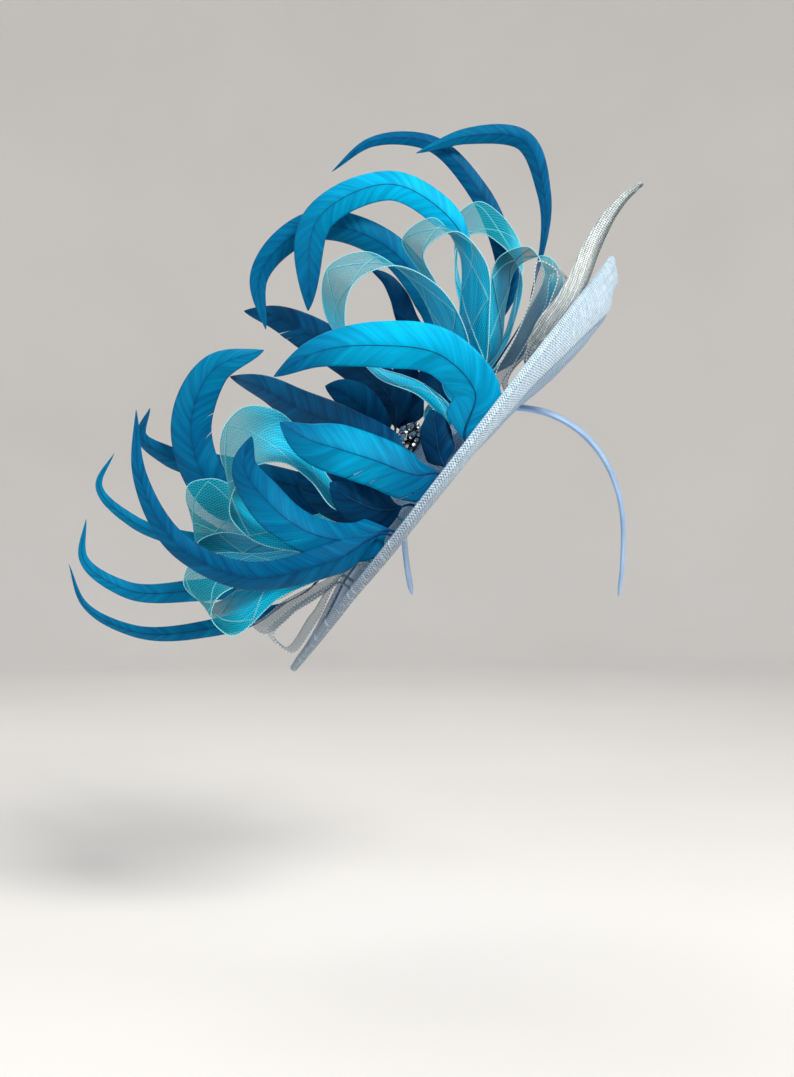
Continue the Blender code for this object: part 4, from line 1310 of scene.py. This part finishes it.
def add_chip(sketch, frame_of, radius):
    """Small cut stone, tilted and placed by its own matrix."""
    rings = []
    for wide, high in CHIP_PROFILE:
        ring = []
        for angle in around(CHIP_SIDES):
            point = Vector((wide * math.cos(angle), wide * math.sin(angle), high)) * radius
            ring.append(sketch.add_point(frame_of @ point, (angle, radius * high)))
        rings.append(ring)
    sketch.add_hull(rings)


def make_brooch(skin, metal, stone):
    """Finish of the setting and its stones, and the two rings of small chips round them."""
    for name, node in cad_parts.items():
        if name.startswith("brooch"):
            for slot in node.material_slots:
                slot.material = metal if name == "brooch_setting" else stone
    frame_of = brooch_frame(skin)
    chips = Sketch()
    for ring in CHIP_RINGS:
        tilt = Matrix.Rotation(math.radians(ring.tilt), 4, "Y")
        for turn in around(ring.count, ring.start):
            centre = (ring.out * math.cos(turn), ring.out * math.sin(turn), ring.height)
            local = Matrix.Translation(centre) @ Matrix.Rotation(turn, 4, "Z") @ tilt
            add_chip(chips, frame_of @ local, ring.radius)
    item = chips.build("brooch_chips", [stone], sharp=20.0)
    dress(item, None)


# Studio


def add_light(row):
    """Square soft light that looks at the object and isn't seen itself."""
    light = bpy.data.lights.new(row.name, "AREA")
    light.shape = "SQUARE"
    light.size = row.size
    light.energy = row.power
    light.color = row.colour
    item = bpy.data.objects.new(row.name, light)
    item.location = RIGHT * row.right + FORWARD * row.forward + UP * row.up
    item.rotation_euler = (Vector(LIGHT_AIM_M) - item.location).to_track_quat("-Z", "Y").to_euler()
    item.visible_camera = False
    bpy.context.scene.collection.objects.link(item)


def make_stage():
    """Round pale floor that curves up into a wall on every side, soft light and a bright room."""
    profile = [(FLOOR_RADIUS, 0.0)]
    for k in range(1, COVE_STEPS + 1):
        angle = math.pi / 2.0 * k / COVE_STEPS
        out = FLOOR_RADIUS + COVE_RADIUS * math.sin(angle)
        profile.append((out, COVE_RADIUS * (1.0 - math.cos(angle))))
    profile.append((FLOOR_RADIUS + COVE_RADIUS, WALL_HEIGHT))
    sketch = Sketch()
    rows = []
    for radius, height in profile:
        row = []
        for angle in around(STAGE_SIDES):
            out = RIGHT * math.cos(angle) + FORWARD * math.sin(angle)
            row.append(sketch.add_point(out * radius + UP * (FLOOR_HEIGHT + height), (radius, height)))
        rows.append(row)
    sketch.add_grid(rows, closed=True)
    sketch.add_face(rows[0])
    sketch.build("floor", [floor_material()])
    for row in LIGHTS:
        add_light(row)
    world = bpy.data.worlds.new("room")
    world.use_nodes = True
    background = world.node_tree.nodes["Background"].inputs
    background["Color"].default_value = ROOM_COLOUR
    background["Strength"].default_value = ROOM_STRENGTH
    bpy.context.scene.world = world
    bpy.context.scene.view_settings.view_transform = "Standard"


def make_camera():
    """Camera at the front drawing's eye."""
    lens = bpy.data.cameras.new("camera")
    lens.lens = LENS
    lens.sensor_width = SENSOR_WIDTH
    item = bpy.data.objects.new("camera", lens)
    item.location = (RIGHT * EYE_ACROSS + UP * EYE_UP - FORWARD * EYE_DISTANCE) * MM
    item.rotation_euler = FORWARD.to_track_quat("-Z", "Y").to_euler()
    bpy.context.scene.collection.objects.link(item)
    bpy.context.scene.camera = item


def clear_leftovers():
    """Remove what a new file holds besides the frame."""
    for name in ("Cube", "Light", "Camera"):
        item = bpy.data.objects.get(name)
        if item:
            bpy.data.objects.remove(item, do_unlink=True)


def main():
    """Dress the whole fascinator."""
    clear_leftovers()
    make_camera()
    make_stage()
    skin = base_skin()
    make_headband(satin_material())
    make_base(sinamay_material(FINE_WEAVE))
    make_binding(sinamay_material(COARSE_WEAVE))
    make_leaf(skin, sinamay_material(SILVER_WEAVE))
    turquoise = crin_material(TURQUOISE_NET)
    grey = crin_material(GREY_NET)
    cord = cord_material("crin_edge_cord", (0.10, 0.46, 0.56), (0.38, 0.82, 0.88), 0.85, 1.6)
    lattice = cord_material("crin_lattice_thread", (0.08, 0.44, 0.54), (0.28, 0.74, 0.82), 0.5, 1.4)
    silver = cord_material("crin_silver_stitch", (0.26, 0.30, 0.32), (0.72, 0.77, 0.80), 0.35, 2.2)
    for loop in LOOPS:
        if loop.grey:
            make_loop(skin, loop, grey, silver, silver)
        else:
            make_loop(skin, loop, turquoise, cord, lattice)
    vane = vane_material()
    quill = quill_material()
    for feather in FEATHERS:
        make_feather(skin, feather, vane, quill)
    make_brooch(skin, metal_material(), stone_material())


main()
